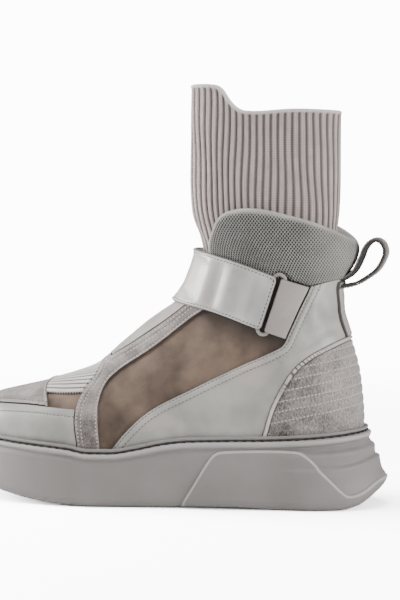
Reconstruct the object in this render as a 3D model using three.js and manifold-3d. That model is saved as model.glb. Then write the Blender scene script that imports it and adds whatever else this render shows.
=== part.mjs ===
// A sneaker boot for a left foot of about size EU 39: a thick moulded sole, a bootie upper under leather and
// suede overlays, a padded mesh collar, a ribbed knit sock shaft, an ankle strap that ends at an oval ring,
// and a heel loop. Millimetres, +Z up. The toe points along -X and the outer side of the foot faces -Y. The
// origin is on the floor, under the middle of the heel.
import * as THREE from "three";
import { mergeVertices } from "three/addons/utils/BufferGeometryUtils.js";
import Module from "manifold-3d";

const wasm = await Module();
wasm.setup();

// Driving sizes of the foot and the boot.
const footLength = 267; // the upper's outline on the sole, toe to heel
const heelBack = 31; // from the origin back to the upper's heel
const ballLateral = 47; // half widths of that outline, from the shoe's middle plane
const ballMedial = 49;
const waistLateral = 39;
const waistMedial = 33;
const seatWidth = 67;
const ankleWidth = 74;
const toeShift = 9; // the toe's tip lies this far towards the big toe
const heelHeight = 45; // the sole's height under the heel
const upperRise = 150; // from the heel seat to the collar's top
const sockRise = 230; // from the heel seat to the sock's front peak
const sockDepth = 40; // the shaft's opening across the foot
const strapWidth = 36;

// Thicknesses and clearances.
const gap = 0.3;
const wallThick = 2;
const leatherThick = 1.3;
const stripeThick = 1.6;
const knitThick = 1.8;
const counterThick = 2;
const pipingThick = 2.6;
const pipingWidth = 2;
const collarPuff = 2.5; // how far the pad swells past the upper
const strapThick = 2.3;
const ringThick = 1.6;
const anchorThick = 3.1;
const sockThick = 2.2;
const insoleThick = 4;
const insoleInset = 3;
const bandThick = 1.2; // each of the heel loop's two layers
const bandWidth = 18;
const panelThick = 1.7; // the raised panel on the sole's side
const ringWidth = 10;
const ringOverhang = 3.5; // how far the ring shows past each edge of the strap
const ringBar = 2.6;
const slotWidth = 2.3; // between the strap's end and the anchor
const tipRadius = 3;
const strapLap = 12; // how far the strap lies over what it covers
const grooveDepth = 1.4;
const grooveWidth = 3;
const groovePitch = 9;
const grooveInset = 12;

// Offsets of the layers' outer faces from the upper's.
const leatherTop = gap + leatherThick;
const stripeTop = gap + stripeThick;
const pipingTop = gap + pipingThick;
const strapBase = stripeTop + gap;
const ringTop = gap + ringThick;

// The sole's height along the foot. share runs forwards from the upper's heel as a part of footLength. top and
// bottom are parts of heelHeight, as is datum, the line that heights on the upper are measured from.
const soleProfile = [
  { share: -0.07, datum: 1.08, top: 1.08, bottom: 0.44 },
  { share: -0.052, datum: 1.08, top: 1.08, bottom: 0.3 },
  { share: -0.03, datum: 1.08, top: 1.08, bottom: 0.17 },
  { share: 0, datum: 1.07, top: 1.07, bottom: 0.05 },
  { share: 0.04, datum: 1.05, top: 1.05, bottom: 0 },
  { share: 0.2, datum: 1.0, top: 0.985, bottom: 0 },
  { share: 0.3, datum: 0.97, top: 0.972, bottom: 0.025 },
  { share: 0.4, datum: 0.93, top: 0.95, bottom: 0.02 },
  { share: 0.46, datum: 0.89, top: 0.908, bottom: 0 },
  { share: 0.53, datum: 0.8, top: 0.82, bottom: 0 },
  { share: 0.59, datum: 0.7, top: 0.766, bottom: 0 },
  { share: 0.645, datum: 0.68, top: 0.764, bottom: 0 },
  { share: 0.7, datum: 0.695, top: 0.817, bottom: 0.015 },
  { share: 0.78, datum: 0.74, top: 0.853, bottom: 0.06 },
  { share: 0.88, datum: 0.8, top: 0.888, bottom: 0.155 },
  { share: 0.98, datum: 0.85, top: 0.92, bottom: 0.29 },
  { share: 1.06, datum: 0.88, top: 0.945, bottom: 0.45 },
];

// The rings of the sole's side, from the ground up. level is a part of the local height, and side, heel and
// toe are parts of soleFlare, which say how far the ring stands outside the upper's outline.
const soleFlare = 8;
const soleRings = [
  { level: 0, side: 0.5, heel: 1.8125, toe: 0.5 },
  { level: 0.045, side: 0.825, heel: 2.025, toe: 0.875 },
  { level: 0.11, side: 0.975, heel: 2.0625, toe: 1.0625 },
  { level: 0.32, side: 1, heel: 1.7375, toe: 1.075 },
  { level: 0.535, side: 0.975, heel: 1.525, toe: 1.025 },
  { level: 0.58, side: 0.9625, heel: 1.525, toe: 1 },
  { level: 0.61, side: 0.95, heel: 1.175, toe: 0.9875 },
  { level: 0.68, side: 0.9375, heel: 1.1625, toe: 0.9625 },
  { level: 0.78, side: 0.9125, heel: 1.1375, toe: 0.9375 },
  { level: 0.815, side: 0.8875, heel: 0.825, toe: 0.9125 },
  { level: 0.895, side: 0.7625, heel: 0.7, toe: 0.8 },
  { level: 0.92, side: 0.8375, heel: 0.8, toe: 0.85 },
  { level: 0.965, side: 0.85, heel: 0.8125, toe: 0.8625 },
  { level: 1, side: 0.675, heel: 0.6125, toe: 0.7 },
];

// The welt's rings stand on the sole's top: rise is a part of weltHeight, and the rest are parts of
// soleFlare.
const weltHeight = 3.5;
const weltRings = [
  { level: 1, rise: 0, side: 0.5, heel: 0.4625, toe: 0.525 },
  { level: 1, rise: 0.37, side: 0.6375, heel: 0.575, toe: 0.65 },
  { level: 1, rise: 0.71, side: 0.6375, heel: 0.575, toe: 0.65 },
  { level: 1, rise: 1, side: 0.5125, heel: 0.475, toe: 0.525 },
];

// The upper's sections, from the toe to the collar. Each lies in a plane that stands on the shoe's middle
// plane and runs from a foot point, at footS and footH, to a point on the ridge, at s and h. s is a part of
// footLength and h a part of upperRise above the sole's top. ankle is how far the width has passed from the
// sole's outline to ankleWidth, girth scales it, apex is where along the plane the section is widest, round
// is the exponent of its top, shift moves the ridge towards the big toe as a part of toeShift, and steps is
// how many faces reach the next row. At the row that closes, both sides meet at the heel's back.
const footSections = [
  { s: 1.0, h: 0.083, footS: 1.0, girth: 1, apex: 0.5, round: 2, shift: 1, steps: 2 },
  { s: 0.994, h: 0.127, footS: 0.991, girth: 1.02, apex: 0.5, round: 2.2, shift: 1 },
  { s: 0.974, h: 0.166, footS: 0.963, girth: 1.02, apex: 0.45, round: 2.2, shift: 1 },
  { s: 0.936, h: 0.198, footS: 0.921, girth: 1.02, apex: 0.4, round: 2.2, shift: 0.98 },
  { s: 0.876, h: 0.234, footS: 0.858, girth: 1.02, apex: 0.35, round: 2.2, shift: 0.95 },
  { s: 0.805, h: 0.277, footS: 0.783, girth: 1.02, apex: 0.32, round: 2.1, shift: 0.85 },
  { s: 0.73, h: 0.33, footS: 0.7, girth: 1.02, apex: 0.3, round: 2, shift: 0.75 },
  { s: 0.667, h: 0.382, footS: 0.61, ankle: 0.03, girth: 1.02, apex: 0.28, round: 1.9, shift: 0.6, steps: 2 },
  { s: 0.607, h: 0.473, footS: 0.513, ankle: 0.1, girth: 1.02, apex: 0.28, round: 1.85, shift: 0.45, steps: 2 },
  { s: 0.551, h: 0.535, footS: 0.408, ankle: 0.25, girth: 1.02, apex: 0.32, round: 1.8, shift: 0.3, steps: 2 },
  { s: 0.506, h: 0.573, footS: 0.296, ankle: 0.5, girth: 1.02, apex: 0.4, round: 1.8, shift: 0.2 },
  { s: 0.472, h: 0.601, footS: 0.184, ankle: 0.8, girth: 1.01, apex: 0.46, round: 1.85, shift: 0.1 },
  { s: 0.452, h: 0.629, footS: 0.086, ankle: 0.95, girth: 1, apex: 0.48, round: 1.9, shift: 0.05 },
];
const shaftSections = [
  { s: 0.439, h: 0.657, footS: 0.026, footH: 0, girth: 0.99, steps: 3 },
  { s: 0.43, h: 0.682, footS: 0, footH: 0, girth: 0.98, closes: true },
  { s: 0.421, h: 0.72, footS: -0.001, footH: 0.066, girth: 0.97 },
  { s: 0.41, h: 0.771, footS: 0.009, footH: 0.247, girth: 0.95 },
  { s: 0.403, h: 0.823, footS: 0.031, footH: 0.403, girth: 0.93 },
  { s: 0.409, h: 0.882, footS: 0.052, footH: 0.539, girth: 0.93 },
  { s: 0.423, h: 0.948, footS: 0.056, footH: 0.619, girth: 0.95 },
  { s: 0.438, h: 1.02, footS: 0.041, footH: 0.697, girth: 0.98 },
  { s: 0.444, h: 1.09, footS: 0.019, footH: 0.768, girth: 1 },
  { s: 0.448, h: 1.16, footS: 0.009, footH: 0.867, girth: 1.01 },
  { s: 0.448, h: 1.25, footS: 0.004, footH: 0.993, girth: 1.01 },
];
const sections = [
  ...footSections.map((row) => ({ footH: 0, ankle: 0, steps: 1, ...row })),
  ...shaftSections.map((row) => ({ ankle: 1, apex: 0.48, round: 2, shift: 0, steps: 1, ...row })),
];
const lowerSteps = 3; // faces from the foot edge to the widest place
const upperSteps = 5; // faces from there to the ridge
const roundHandle = 0.5523; // a quarter circle's handle as a part of its radius

// The sock's loops, from inside the collar to its rim. rise is a part of sockRise above the heel seat, front
// and back are parts of footLength, and depth is a part of sockDepth.
const sockLoops = [
  { rise: 0.43, front: 0.37, back: 0.075, depth: 1.35 },
  { rise: 0.52, front: 0.395, back: 0.066, depth: 1.46 },
  { rise: 0.587, front: 0.412, back: 0.06, depth: 1.46 },
  { rise: 0.652, front: 0.424, back: 0.054, depth: 1.42 },
  { rise: 0.739, front: 0.428, back: 0.052, depth: 1.28 },
  { rise: 0.848, front: 0.427, back: 0.052, depth: 1.12 },
  { rise: 1.02, front: 0.425, back: 0.05, depth: 1 },
];
const sockSteps = 10; // faces around each side of the sock
const sockFlat = 0.9; // below 1 squares the loops

// The lines of the side view. Each lies on the upper, with s and h as above. A level line runs from toe to
// heel and an upright one from the sole upwards.
const lines = {
  randTop: [
    { s: 1.06, h: 0.095 }, { s: 0.985, h: 0.15 }, { s: 0.945, h: 0.174 }, { s: 0.888, h: 0.189 },
    { s: 0.8, h: 0.207 }, { s: 0.719, h: 0.214 }, { s: 0.66, h: 0.214 },
  ],
  capRear: [
    { s: 0.751, h: 0.16 }, { s: 0.757, h: 0.215 }, { s: 0.768, h: 0.25 }, { s: 0.786, h: 0.29 },
    { s: 0.815, h: 0.4 },
  ],
  knitLow: [
    { s: 0.83, h: 0.25 }, { s: 0.76, h: 0.266 }, { s: 0.72, h: 0.274 }, { s: 0.64, h: 0.289 },
  ],
  stripeFront: [
    { s: 0.672, h: -0.08 }, { s: 0.674, h: 0.061 }, { s: 0.681, h: 0.18 }, { s: 0.678, h: 0.254 },
    { s: 0.663, h: 0.322 }, { s: 0.65, h: 0.365 }, { s: 0.645, h: 0.43 }, { s: 0.645, h: 0.95 },
  ],
  stripeRear: [
    { s: 0.614, h: -0.08 }, { s: 0.616, h: 0.054 }, { s: 0.622, h: 0.182 }, { s: 0.624, h: 0.25 },
    { s: 0.613, h: 0.326 }, { s: 0.584, h: 0.376 }, { s: 0.508, h: 0.428 }, { s: 0.416, h: 0.529 },
    { s: 0.354, h: 0.61 }, { s: 0.31, h: 0.95 },
  ],
  stripeTop: [
    { s: 0.628, h: 0.56 }, { s: 0.624, h: 0.44 }, { s: 0.6, h: 0.456 }, { s: 0.56, h: 0.484 },
    { s: 0.491, h: 0.532 }, { s: 0.434, h: 0.59 }, { s: 0.39, h: 0.65 }, { s: 0.34, h: 0.9 },
  ],
  quarterFront: [
    { s: 0.66, h: -0.08 }, { s: 0.592, h: 0.035 }, { s: 0.558, h: 0.095 }, { s: 0.502, h: 0.161 },
    { s: 0.397, h: 0.234 }, { s: 0.277, h: 0.326 }, { s: 0.2, h: 0.381 }, { s: 0.172, h: 0.408 },
    { s: 0.158, h: 0.46 }, { s: 0.131, h: 0.57 }, { s: 0.108, h: 0.66 }, { s: 0.09, h: 0.76 },
  ],
  counterFront: [
    { s: 0.24, h: -0.09 }, { s: 0.221, h: 0.015 }, { s: 0.202, h: 0.127 }, { s: 0.176, h: 0.219 },
    { s: 0.145, h: 0.302 }, { s: 0.105, h: 0.358 }, { s: 0.06, h: 0.397 }, { s: 0.022, h: 0.423 },
    { s: -0.1, h: 0.487 },
  ],
  collarFoot: [
    { s: 1.2, h: 0.79 }, { s: 0.419, h: 0.79 }, { s: 0.345, h: 0.755 }, { s: 0.277, h: 0.718 },
    { s: 0.21, h: 0.692 }, { s: 0.169, h: 0.692 }, { s: 0.14, h: 0.674 }, { s: 0.112, h: 0.657 },
    { s: 0.086, h: 0.664 }, { s: 0.05, h: 0.674 }, { s: -0.1, h: 0.672 },
  ],
  collarTop: [
    { s: 0.373, h: 0.76 }, { s: 0.371, h: 0.823 }, { s: 0.366, h: 0.876 }, { s: 0.356, h: 0.921 },
    { s: 0.345, h: 0.96 }, { s: 0.324, h: 0.989 }, { s: 0.285, h: 1.002 }, { s: 0.228, h: 0.996 },
    { s: 0.154, h: 0.965 }, { s: 0.082, h: 0.923 }, { s: 0.03, h: 0.876 }, { s: 0.004, h: 0.84 },
    { s: -0.01, h: 0.8 },
  ],
  strapTop: [
    { s: 0.6, h: 0.98 }, { s: 0.419, h: 0.842 }, { s: 0.345, h: 0.806 }, { s: 0.277, h: 0.766 },
    { s: 0.184, h: 0.7 },
  ],
  anchorTop: [{ s: 0.184, h: 0.7 }, { s: 0.112, h: 0.655 }, { s: 0.03, h: 0.6 }],
};

// The sock's rim in the side view, from front to back, with rise as in its loops. It leans: towards the inner
// side its dip lies further forward, by this much for each millimetre across.
const rimLean = 0.21;
const sockRim = [
  { s: 0.5, rise: 1 }, { s: 0.36, rise: 1 }, { s: 0.342, rise: 0.99 }, { s: 0.318, rise: 0.952 },
  { s: 0.294, rise: 0.93 }, { s: 0.26, rise: 0.924 }, { s: 0.15, rise: 0.93 }, { s: 0, rise: 0.924 },
];

// The raised panel on the sole's side: x is a part of footLength ahead of the origin and z a part of
// heelHeight.
const panelOutline = [
  { x: -0.3, z: -0.2 }, { x: -0.294, z: 0 }, { x: -0.262, z: 0.33 }, { x: -0.22, z: 0.73 },
  { x: -0.208, z: 0.79 }, { x: -0.19, z: 0.81 }, { x: -0.03, z: 0.825 }, { x: -0.01, z: 0.81 },
  { x: 0.006, z: 0.75 }, { x: 0.04, z: 0.53 }, { x: 0.087, z: 0.235 }, { x: 0.098, z: 0.19 },
  { x: 0.115, z: 0.185 }, { x: 0.14, z: 0.25 }, { x: 0.17, z: 0.38 }, { x: 0.22, z: 0.42 },
  { x: 0.22, z: -0.2 },
];

// The pull loop's path in the side view, from its root over the top and back: parts of upperRise from the
// root.
const loopPath = [
  { back: 0.041, up: 0.03 }, { back: 0.066, up: 0.057 }, { back: 0.09, up: 0.107 },
  { back: 0.106, up: 0.147 }, { back: 0.127, up: 0.173 }, { back: 0.154, up: 0.185 },
  { back: 0.182, up: 0.17 }, { back: 0.195, up: 0.133 }, { back: 0.183, up: 0.093 },
  { back: 0.157, up: 0.053 }, { back: 0.114, up: 0.02 }, { back: 0.071, up: -0.005 },
  { back: 0.029, up: -0.016 },
];
const loopRoot = { s: 0.049, h: 0.66 };

// The upper's outline on the sole, on each side: where it is widest and narrowest, and how square the toe is.
const outlineSides = {
  lateral: { sign: -1, ballS: 0.68, ball: ballLateral, waistS: 0.38, waist: waistLateral, toeRound: 1.9 },
  medial: { sign: 1, ballS: 0.745, ball: ballMedial, waistS: 0.42, waist: waistMedial, toeRound: 2.3 },
};
const seatS = 0.14;

// Where a smooth curve through a column of a table lies at a given key, with no overshoot between its rows.
function tableAt(table, key, column, value) {
  const last = table.length - 1;
  if (value <= table[0][key]) return table[0][column];
  if (value >= table[last][key]) return table[last][column];
  const i = table.findIndex((row) => row[key] > value) - 1;
  const rise = (k) => (table[k + 1][column] - table[k][column]) / (table[k + 1][key] - table[k][key]);
  const slope = (k) => {
    if (k === 0) return rise(0);
    if (k === last) return rise(last - 1);
    const before = rise(k - 1);
    const after = rise(k);
    return before * after <= 0 ? 0 : (2 * before * after) / (before + after);
  };
  const span = table[i + 1][key] - table[i][key];
  const t = (value - table[i][key]) / span;
  return (
    table[i][column] * (1 + 2 * t) * (1 - t) ** 2 +
    slope(i) * span * t * (1 - t) ** 2 +
    table[i + 1][column] * t * t * (3 - 2 * t) +
    slope(i + 1) * span * t * t * (t - 1)
  );
}

const xOf = (share) => heelBack - share * footLength;
const shareOf = (x) => (heelBack - x) / footLength;
const soleTop = (x) => heelHeight * tableAt(soleProfile, "share", "top", shareOf(x));
const soleBottom = (x) => heelHeight * tableAt(soleProfile, "share", "bottom", shareOf(x));
const eased = (from, to, t) => from + (to - from) * (0.5 - 0.5 * Math.cos(Math.PI * t));

// The point of the side view at s and h.
const datum = (x) => heelHeight * tableAt(soleProfile, "share", "datum", shareOf(x));
const spot = ({ s, h }) => new THREE.Vector2(xOf(s), datum(xOf(s)) + h * upperRise);

// The outline's y at x on one side, grown outwards at the side, heel and toe.
function edgeY(x, side, grow) {
  const { sign, ballS, ball, waistS, waist, toeRound } = outlineSides[side];
  const toeX = xOf(1) - grow.toe;
  const backX = heelBack + grow.heel;
  if (x <= toeX) return toeShift;
  if (x >= backX) return 0;
  const widest = sign * (ball + grow.side);
  const narrow = sign * (waist + grow.side);
  const seat = sign * (seatWidth / 2 + grow.side);
  if (x < xOf(ballS)) {
    const u = (xOf(ballS) - x) / (xOf(ballS) - toeX);
    return toeShift + (widest - toeShift) * (1 - u ** toeRound) ** (1 / toeRound);
  }
  if (x < xOf(waistS)) return eased(widest, narrow, (x - xOf(ballS)) / (xOf(waistS) - xOf(ballS)));
  if (x < xOf(seatS)) return eased(narrow, seat, (x - xOf(waistS)) / (xOf(seatS) - xOf(waistS)));
  return seat * Math.sqrt(1 - ((x - xOf(seatS)) / (backX - xOf(seatS))) ** 2);
}
const noGrowth = { side: 0, heel: 0, toe: 0 };

// A closed solid from points and faces of three or more corners. Points that coincide are joined, faces that
// collapse are dropped, and a solid that comes out inside out is turned.
function solidFrom(points, faces) {
  const corners = [];
  for (const face of faces) {
    for (let k = 2; k < face.length; k++) corners.push(points[face[0]], points[face[k - 1]], points[face[k]]);
  }
  const merged = mergeVertices(new THREE.BufferGeometry().setFromPoints(corners), 1e-4);
  const index = merged.index.array;
  const kept = [];
  for (let i = 0; i < index.length; i += 3) {
    const [a, b, c] = [index[i], index[i + 1], index[i + 2]];
    if (a !== b && b !== c && c !== a) kept.push(a, b, c);
  }
  const vertProperties = merged.attributes.position.array;
  const build = () => {
    const triVerts = new Uint32Array(kept);
    return new wasm.Manifold(new wasm.Mesh({ numProp: 3, vertProperties, triVerts }));
  };
  const solid = build();
  if (solid.volume() > 0) return solid;
  for (let i = 0; i < kept.length; i += 3) [kept[i + 1], kept[i + 2]] = [kept[i + 2], kept[i + 1]];
  return build();
}

// A three.js geometry as a solid, its seams joined.
function solidOf(geometry) {
  const bare = geometry.index ? geometry.toNonIndexed() : geometry;
  const position = bare.getAttribute("position");
  const points = [];
  const faces = [];
  for (let i = 0; i < position.count; i++) points.push(new THREE.Vector3().fromBufferAttribute(position, i));
  for (let i = 0; i < position.count; i += 3) faces.push([i, i + 1, i + 2]);
  return solidFrom(points, faces);
}

// A solid through loops of points that all have the same count, closed by a fan at each end.
function loft(loops) {
  const points = loops.flat();
  const count = loops[0].length;
  const faces = [];
  for (let i = 0; i + 1 < loops.length; i++) {
    for (let j = 0; j < count; j++) {
      const next = (j + 1) % count;
      faces.push([i * count + j, i * count + next, (i + 1) * count + next, (i + 1) * count + j]);
    }
  }
  // Each end is closed by strips between the points that face each other across the loop.
  const last = (loops.length - 1) * count;
  for (let j = 0; j + 1 < count - 1 - j; j++) {
    const far = count - 1 - j;
    faces.push([j, far, far - 1, j + 1]);
    faces.push([last + j, last + j + 1, last + far - 1, last + far]);
  }
  return solidFrom(points, faces);
}

// Sole, welt and insole: rings that follow the foot's outline

const outlineSteps = 18; // faces along each side of an outline

// One ring: from the toe along the outer side to the heel, and back along the inner side. Its stations are
// those of every other ring, apart from the toe and heel, where they spread as the ring grows.
const endStretch = 0.3;
function ringPoints({ level, rise = 0, side, heel, toe }, extra = 0) {
  const grow = { side: side + extra, heel: heel + extra, toe: toe + extra };
  const point = (k, name) => {
    const t = eased(0, 1, k / outlineSteps);
    const toeward = Math.max(0, 1 - t / endStretch) ** 2;
    const heelward = Math.max(0, 1 - (1 - t) / endStretch) ** 2;
    const x = xOf(1 - t) - grow.toe * toeward + grow.heel * heelward;
    const z = soleBottom(x) + (soleTop(x) - soleBottom(x)) * level + rise;
    return new THREE.Vector3(x, edgeY(x, name, grow), z);
  };
  const steps = Array.from({ length: outlineSteps + 1 }, (_, k) => k);
  return [...steps.map((k) => point(k, "lateral")), ...steps.reverse().map((k) => point(k, "medial"))];
}

// A ring of a table with its parts of soleFlare as lengths.
const flared = ({ level, side, heel, toe }) => ({
  level,
  side: side * soleFlare,
  heel: heel * soleFlare,
  toe: toe * soleFlare,
});

// A block that cuts an outline of the side view out of a solid, between two depths.
const sideReach = 90;
function sideCut(outline, y0 = -sideReach, y1 = sideReach) {
  const geometry = new THREE.ExtrudeGeometry(new THREE.Shape(outline), { depth: y1 - y0, bevelEnabled: false });
  geometry.rotateX(Math.PI / 2).translate(0, y1, 0);
  return solidOf(geometry);
}

const firstGroove = 0.77; // the foremost groove of the tread, as a part of footLength
const lastGroove = 0.47;
const heelGrooves = [0.065, 0.175]; // the two places of the heel's grooves

function makeSole() {
  const body = loft(soleRings.map((ring) => ringPoints(flared(ring))));
  const panel = loft(soleRings.map((ring) => ringPoints(flared(ring), panelThick)));
  const outline = panelOutline.map(({ x, z }) => new THREE.Vector2(x * footLength, z * heelHeight));
  let sole = body.add(panel.intersect(sideCut(outline)));
  const grooves = heelGrooves.map(xOf);
  for (let x = xOf(firstGroove); x < xOf(lastGroove); x += groovePitch) grooves.push(x);
  for (const x of grooves) {
    const [x0, x1] = [x - grooveWidth / 2, x + grooveWidth / 2];
    const top = (at) => soleBottom(at) + grooveDepth;
    const profile = [
      new THREE.Vector2(x0, -grooveDepth),
      new THREE.Vector2(x1, -grooveDepth),
      new THREE.Vector2(x1, top(x1)),
      new THREE.Vector2(x0, top(x0)),
    ];
    const reach = { side: -grooveInset, heel: 0, toe: 0 };
    sole = sole.subtract(sideCut(profile, edgeY(x, "lateral", reach), edgeY(x, "medial", reach)));
  }
  return sole;
}

// All that lies lower than a gap above the sole's top, for what stands on it.
const soleEdge = flared(soleRings[soleRings.length - 1]);
const soleSeat = loft([-heelHeight / 2, gap].map((rise) => ringPoints({ ...soleEdge, rise })));

function makeWelt() {
  const ring = loft(weltRings.map((row) => ringPoints({ ...flared(row), rise: row.rise * weltHeight })));
  return ring.subtract(form(pipingTop + gap, throughDrop)).subtract(soleSeat);
}

function makeInsole() {
  const ring = { level: 1, side: -insoleInset, heel: -insoleInset, toe: -insoleInset };
  const slab = loft([0, gap + insoleThick].map((rise) => ringPoints({ ...ring, rise })));
  return slab.intersect(form(-wallThick - gap, throughDrop)).subtract(soleSeat);
}

// The upper's form

// One section of the upper, at a place in the table counted in rows: points from the outer foot edge, over
// the ridge, to the inner foot edge.
const placed = sections.map((row, place) => ({ ...row, place }));
const closing = sections.findIndex((row) => row.closes);
const flareStep = 1;
function sectionPoints(place) {
  const read = (column) => tableAt(placed, "place", column, place);
  const footX = xOf(read("footS"));
  const foot = new THREE.Vector2(footX, soleTop(footX) + read("footH") * upperRise);
  const ridge = spot({ s: read("s"), h: read("h") });
  const lean = Math.abs(ridge.x - foot.x) / ridge.distanceTo(foot);
  const middle = toeShift * read("shift");
  const apex = read("apex");
  const power = 2 / read("round");
  const half = (side) => {
    const { sign } = outlineSides[side];
    const outline = Math.abs(edgeY(footX, side, noGrowth) - middle);
    const start = place < closing ? outline : 0;
    const widest = eased(outline, ankleWidth / 2, read("ankle")) * read("girth");
    const widthAt = (x) => Math.abs(edgeY(x, side, noGrowth));
    const narrowing = widthAt(footX - flareStep) - widthAt(footX);
    const flare = place < closing ? Math.atan((Math.max(0, narrowing) / flareStep) * lean) : Math.PI / 2;
    const reached = widest > 0 ? start / widest : 0;
    const handle = [
      roundHandle * apex * Math.cos(flare) * reached,
      start + roundHandle * (widest - start) * Math.sin(flare),
    ];
    const lower = (k) => {
      const t = k / lowerSteps;
      const weight = [(1 - t) ** 3, 3 * t * (1 - t) ** 2, 3 * t * t * (1 - t), t ** 3];
      return [
        weight[1] * handle[0] + weight[2] * apex * (1 - roundHandle) + weight[3] * apex,
        weight[0] * start + weight[1] * handle[1] + (weight[2] + weight[3]) * widest,
      ];
    };
    const upper = (k) => {
      const angle = ((k / upperSteps) * Math.PI) / 2;
      const out = k === upperSteps ? 0 : widest * Math.cos(angle) ** power;
      return [apex + (1 - apex) * Math.sin(angle) ** power, out];
    };
    const shape = [];
    for (let k = 0; k < lowerSteps; k++) shape.push(lower(k));
    for (let k = 0; k <= upperSteps; k++) shape.push(upper(k));
    return shape.map(([along, out]) => {
      const flat = foot.clone().lerp(ridge, along);
      return new THREE.Vector3(flat.x, middle + sign * out, flat.y);
    });
  };
  return [...half("lateral"), ...half("medial").reverse().slice(1)];
}

const places = sections.flatMap(({ steps }, i) =>
  i === sections.length - 1 ? [i] : Array.from({ length: steps }, (_, k) => i + k / steps),
);
const closedFrom = places.indexOf(closing);
const formRows = places.map(sectionPoints);
const across = formRows[0].length;

// The outward direction at each point of the form. Points that coincide share one, and it is level along the
// foot edge and the top.
function formNormals() {
  const sums = new Map();
  const keyOf = (p) => [p.x, p.y, p.z].map((value) => Math.round(value * 1e3)).join();
  const sumAt = (p) => sums.get(keyOf(p)) ?? new THREE.Vector3();
  for (let i = 0; i + 1 < formRows.length; i++) {
    for (let j = 0; j + 1 < across; j++) {
      const quad = [formRows[i][j], formRows[i][j + 1], formRows[i + 1][j + 1], formRows[i + 1][j]];
      const normal = quad[2].clone().sub(quad[0]).cross(quad[3].clone().sub(quad[1])).negate();
      for (const key of new Set(quad.map(keyOf))) {
        sums.set(key, (sums.get(key) ?? new THREE.Vector3()).add(normal));
      }
    }
  }
  return formRows.map((row, i) =>
    row.map((p, j) => {
      const normal = sumAt(p).clone();
      const atFoot = i <= closedFrom && (j === 0 || j === across - 1);
      if (atFoot || i === formRows.length - 1) normal.z = 0;
      return normal.normalize();
    }),
  );
}
const normals = formNormals();

// The form grown outwards by an offset, as a solid block. drop carries its foot edge down and lift its top
// edge up, so that it can cut right through.
function form(offset, drop = 0, lift = 0) {
  const points = [];
  const faces = [];
  const put = (p) => points.push(p) - 1;
  const grown = (p, i, j) => p.clone().addScaledVector(normals[i][j], offset);
  const grid = formRows.map((row, i) => row.map((p, j) => put(grown(p, i, j))));
  const moved = (k, rise) => put(points[k].clone().setZ(points[k].z + rise));
  const open = grid.slice(0, closedFrom + 1);
  const below = open.map((row) => [moved(row[0], -drop), moved(row[across - 1], -drop)]);
  const top = grid[grid.length - 1];
  const crown = top.map((k) => moved(k, lift));
  const centre = crown.reduce((sum, k) => sum.add(points[k]), new THREE.Vector3()).divideScalar(crown.length);
  const middle = put(centre);
  for (let i = 0; i + 1 < grid.length; i++) {
    for (let j = 0; j + 1 < across; j++) {
      const quad = [grid[i][j], grid[i][j + 1], grid[i + 1][j + 1], grid[i + 1][j]];
      // The inner side is split along the other diagonal, so that both sides fold alike.
      if (j >= (across - 1) / 2) quad.push(quad.shift());
      faces.push(quad);
    }
  }
  for (let i = 0; i < closedFrom; i++) {
    faces.push([below[i][0], grid[i][0], grid[i + 1][0], below[i + 1][0]]);
    faces.push([grid[i][across - 1], below[i][1], below[i + 1][1], grid[i + 1][across - 1]]);
    faces.push([below[i][1], below[i][0], below[i + 1][0], below[i + 1][1]]);
  }
  // The toe end of the skirt under the foot edge.
  faces.push([...grid[0], below[0][1], below[0][0]].reverse());
  for (let j = 0; j + 1 < across; j++) {
    faces.push([top[j], top[j + 1], crown[j + 1], crown[j]]);
    faces.push([crown[j], crown[j + 1], middle]);
  }
  return solidFrom(points, faces);
}

const throughDrop = 8;
const throughLift = 12;
const footTrim = 2; // the foot edge starts this low and is cut back to the sole

// The layer of the upper between two offsets from the form, open underneath and at the top.
const cutters = new Map();
function layer(inner, outer) {
  if (!cutters.has(inner)) cutters.set(inner, form(inner, throughDrop, throughLift));
  return form(outer, footTrim).subtract(cutters.get(inner)).subtract(soleSeat);
}

// Cuts in the side view

const farToe = xOf(1.3);
const farHeel = xOf(-0.3);
const farDown = -heelHeight;
const farUp = heelHeight + 2 * upperRise;
const lineSteps = 2; // faces between two points of a line
function smooth(points) {
  const flat = points.map(({ x, y }) => new THREE.Vector3(x, y, 0));
  const path = new THREE.CatmullRomCurve3(flat, false, "centripetal");
  return path.getPoints((points.length - 1) * lineSteps).map(({ x, y }) => new THREE.Vector2(x, y));
}
const curve = (line) => smooth(line.map(spot));

// A line moved sideways, to its left as it runs.
function beside(line, distance) {
  return line.map((p, i) => {
    const before = line[Math.max(0, i - 1)];
    const after = line[Math.min(line.length - 1, i + 1)];
    const run = after.clone().sub(before).normalize();
    return new THREE.Vector2(p.x - run.y * distance, p.y + run.x * distance);
  });
}

// The parts of the side view on one side of a line, kept half a gap clear of it. A negative clearance reaches
// over the line, to take away all that the piece on the other side leaves free.
function closedBy(line, far) {
  return sideCut([...line, ...far(line[line.length - 1], line[0])]);
}
const point = (x, z) => new THREE.Vector2(x, z);
const above = (name, clear = gap / 2) =>
  closedBy(beside(curve(lines[name]), clear), (end, start) => [point(end.x, farUp), point(start.x, farUp)]);
const below = (name, clear = gap / 2) =>
  closedBy(beside(curve(lines[name]), -clear), (end, start) => [point(end.x, farDown), point(start.x, farDown)]);
const before = (name, clear = gap / 2) =>
  closedBy(beside(curve(lines[name]), clear), (end, start) => [point(farToe, end.y), point(farToe, start.y)]);
const behind = (name, clear = gap / 2) =>
  closedBy(beside(curve(lines[name]), -clear), (end, start) => [point(farHeel, end.y), point(farHeel, start.y)]);

// The upper and its overlays

const lowerUpper = below("collarFoot");
const quarterArea = behind("quarterFront").subtract(behind("counterFront", -gap / 2)).intersect(lowerUpper);

function makeUpper() {
  return layer(-wallThick, 0).intersect(lowerUpper);
}

function makeToeRand() {
  return layer(gap, leatherTop).intersect(below("randTop")).intersect(before("stripeFront"));
}

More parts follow.
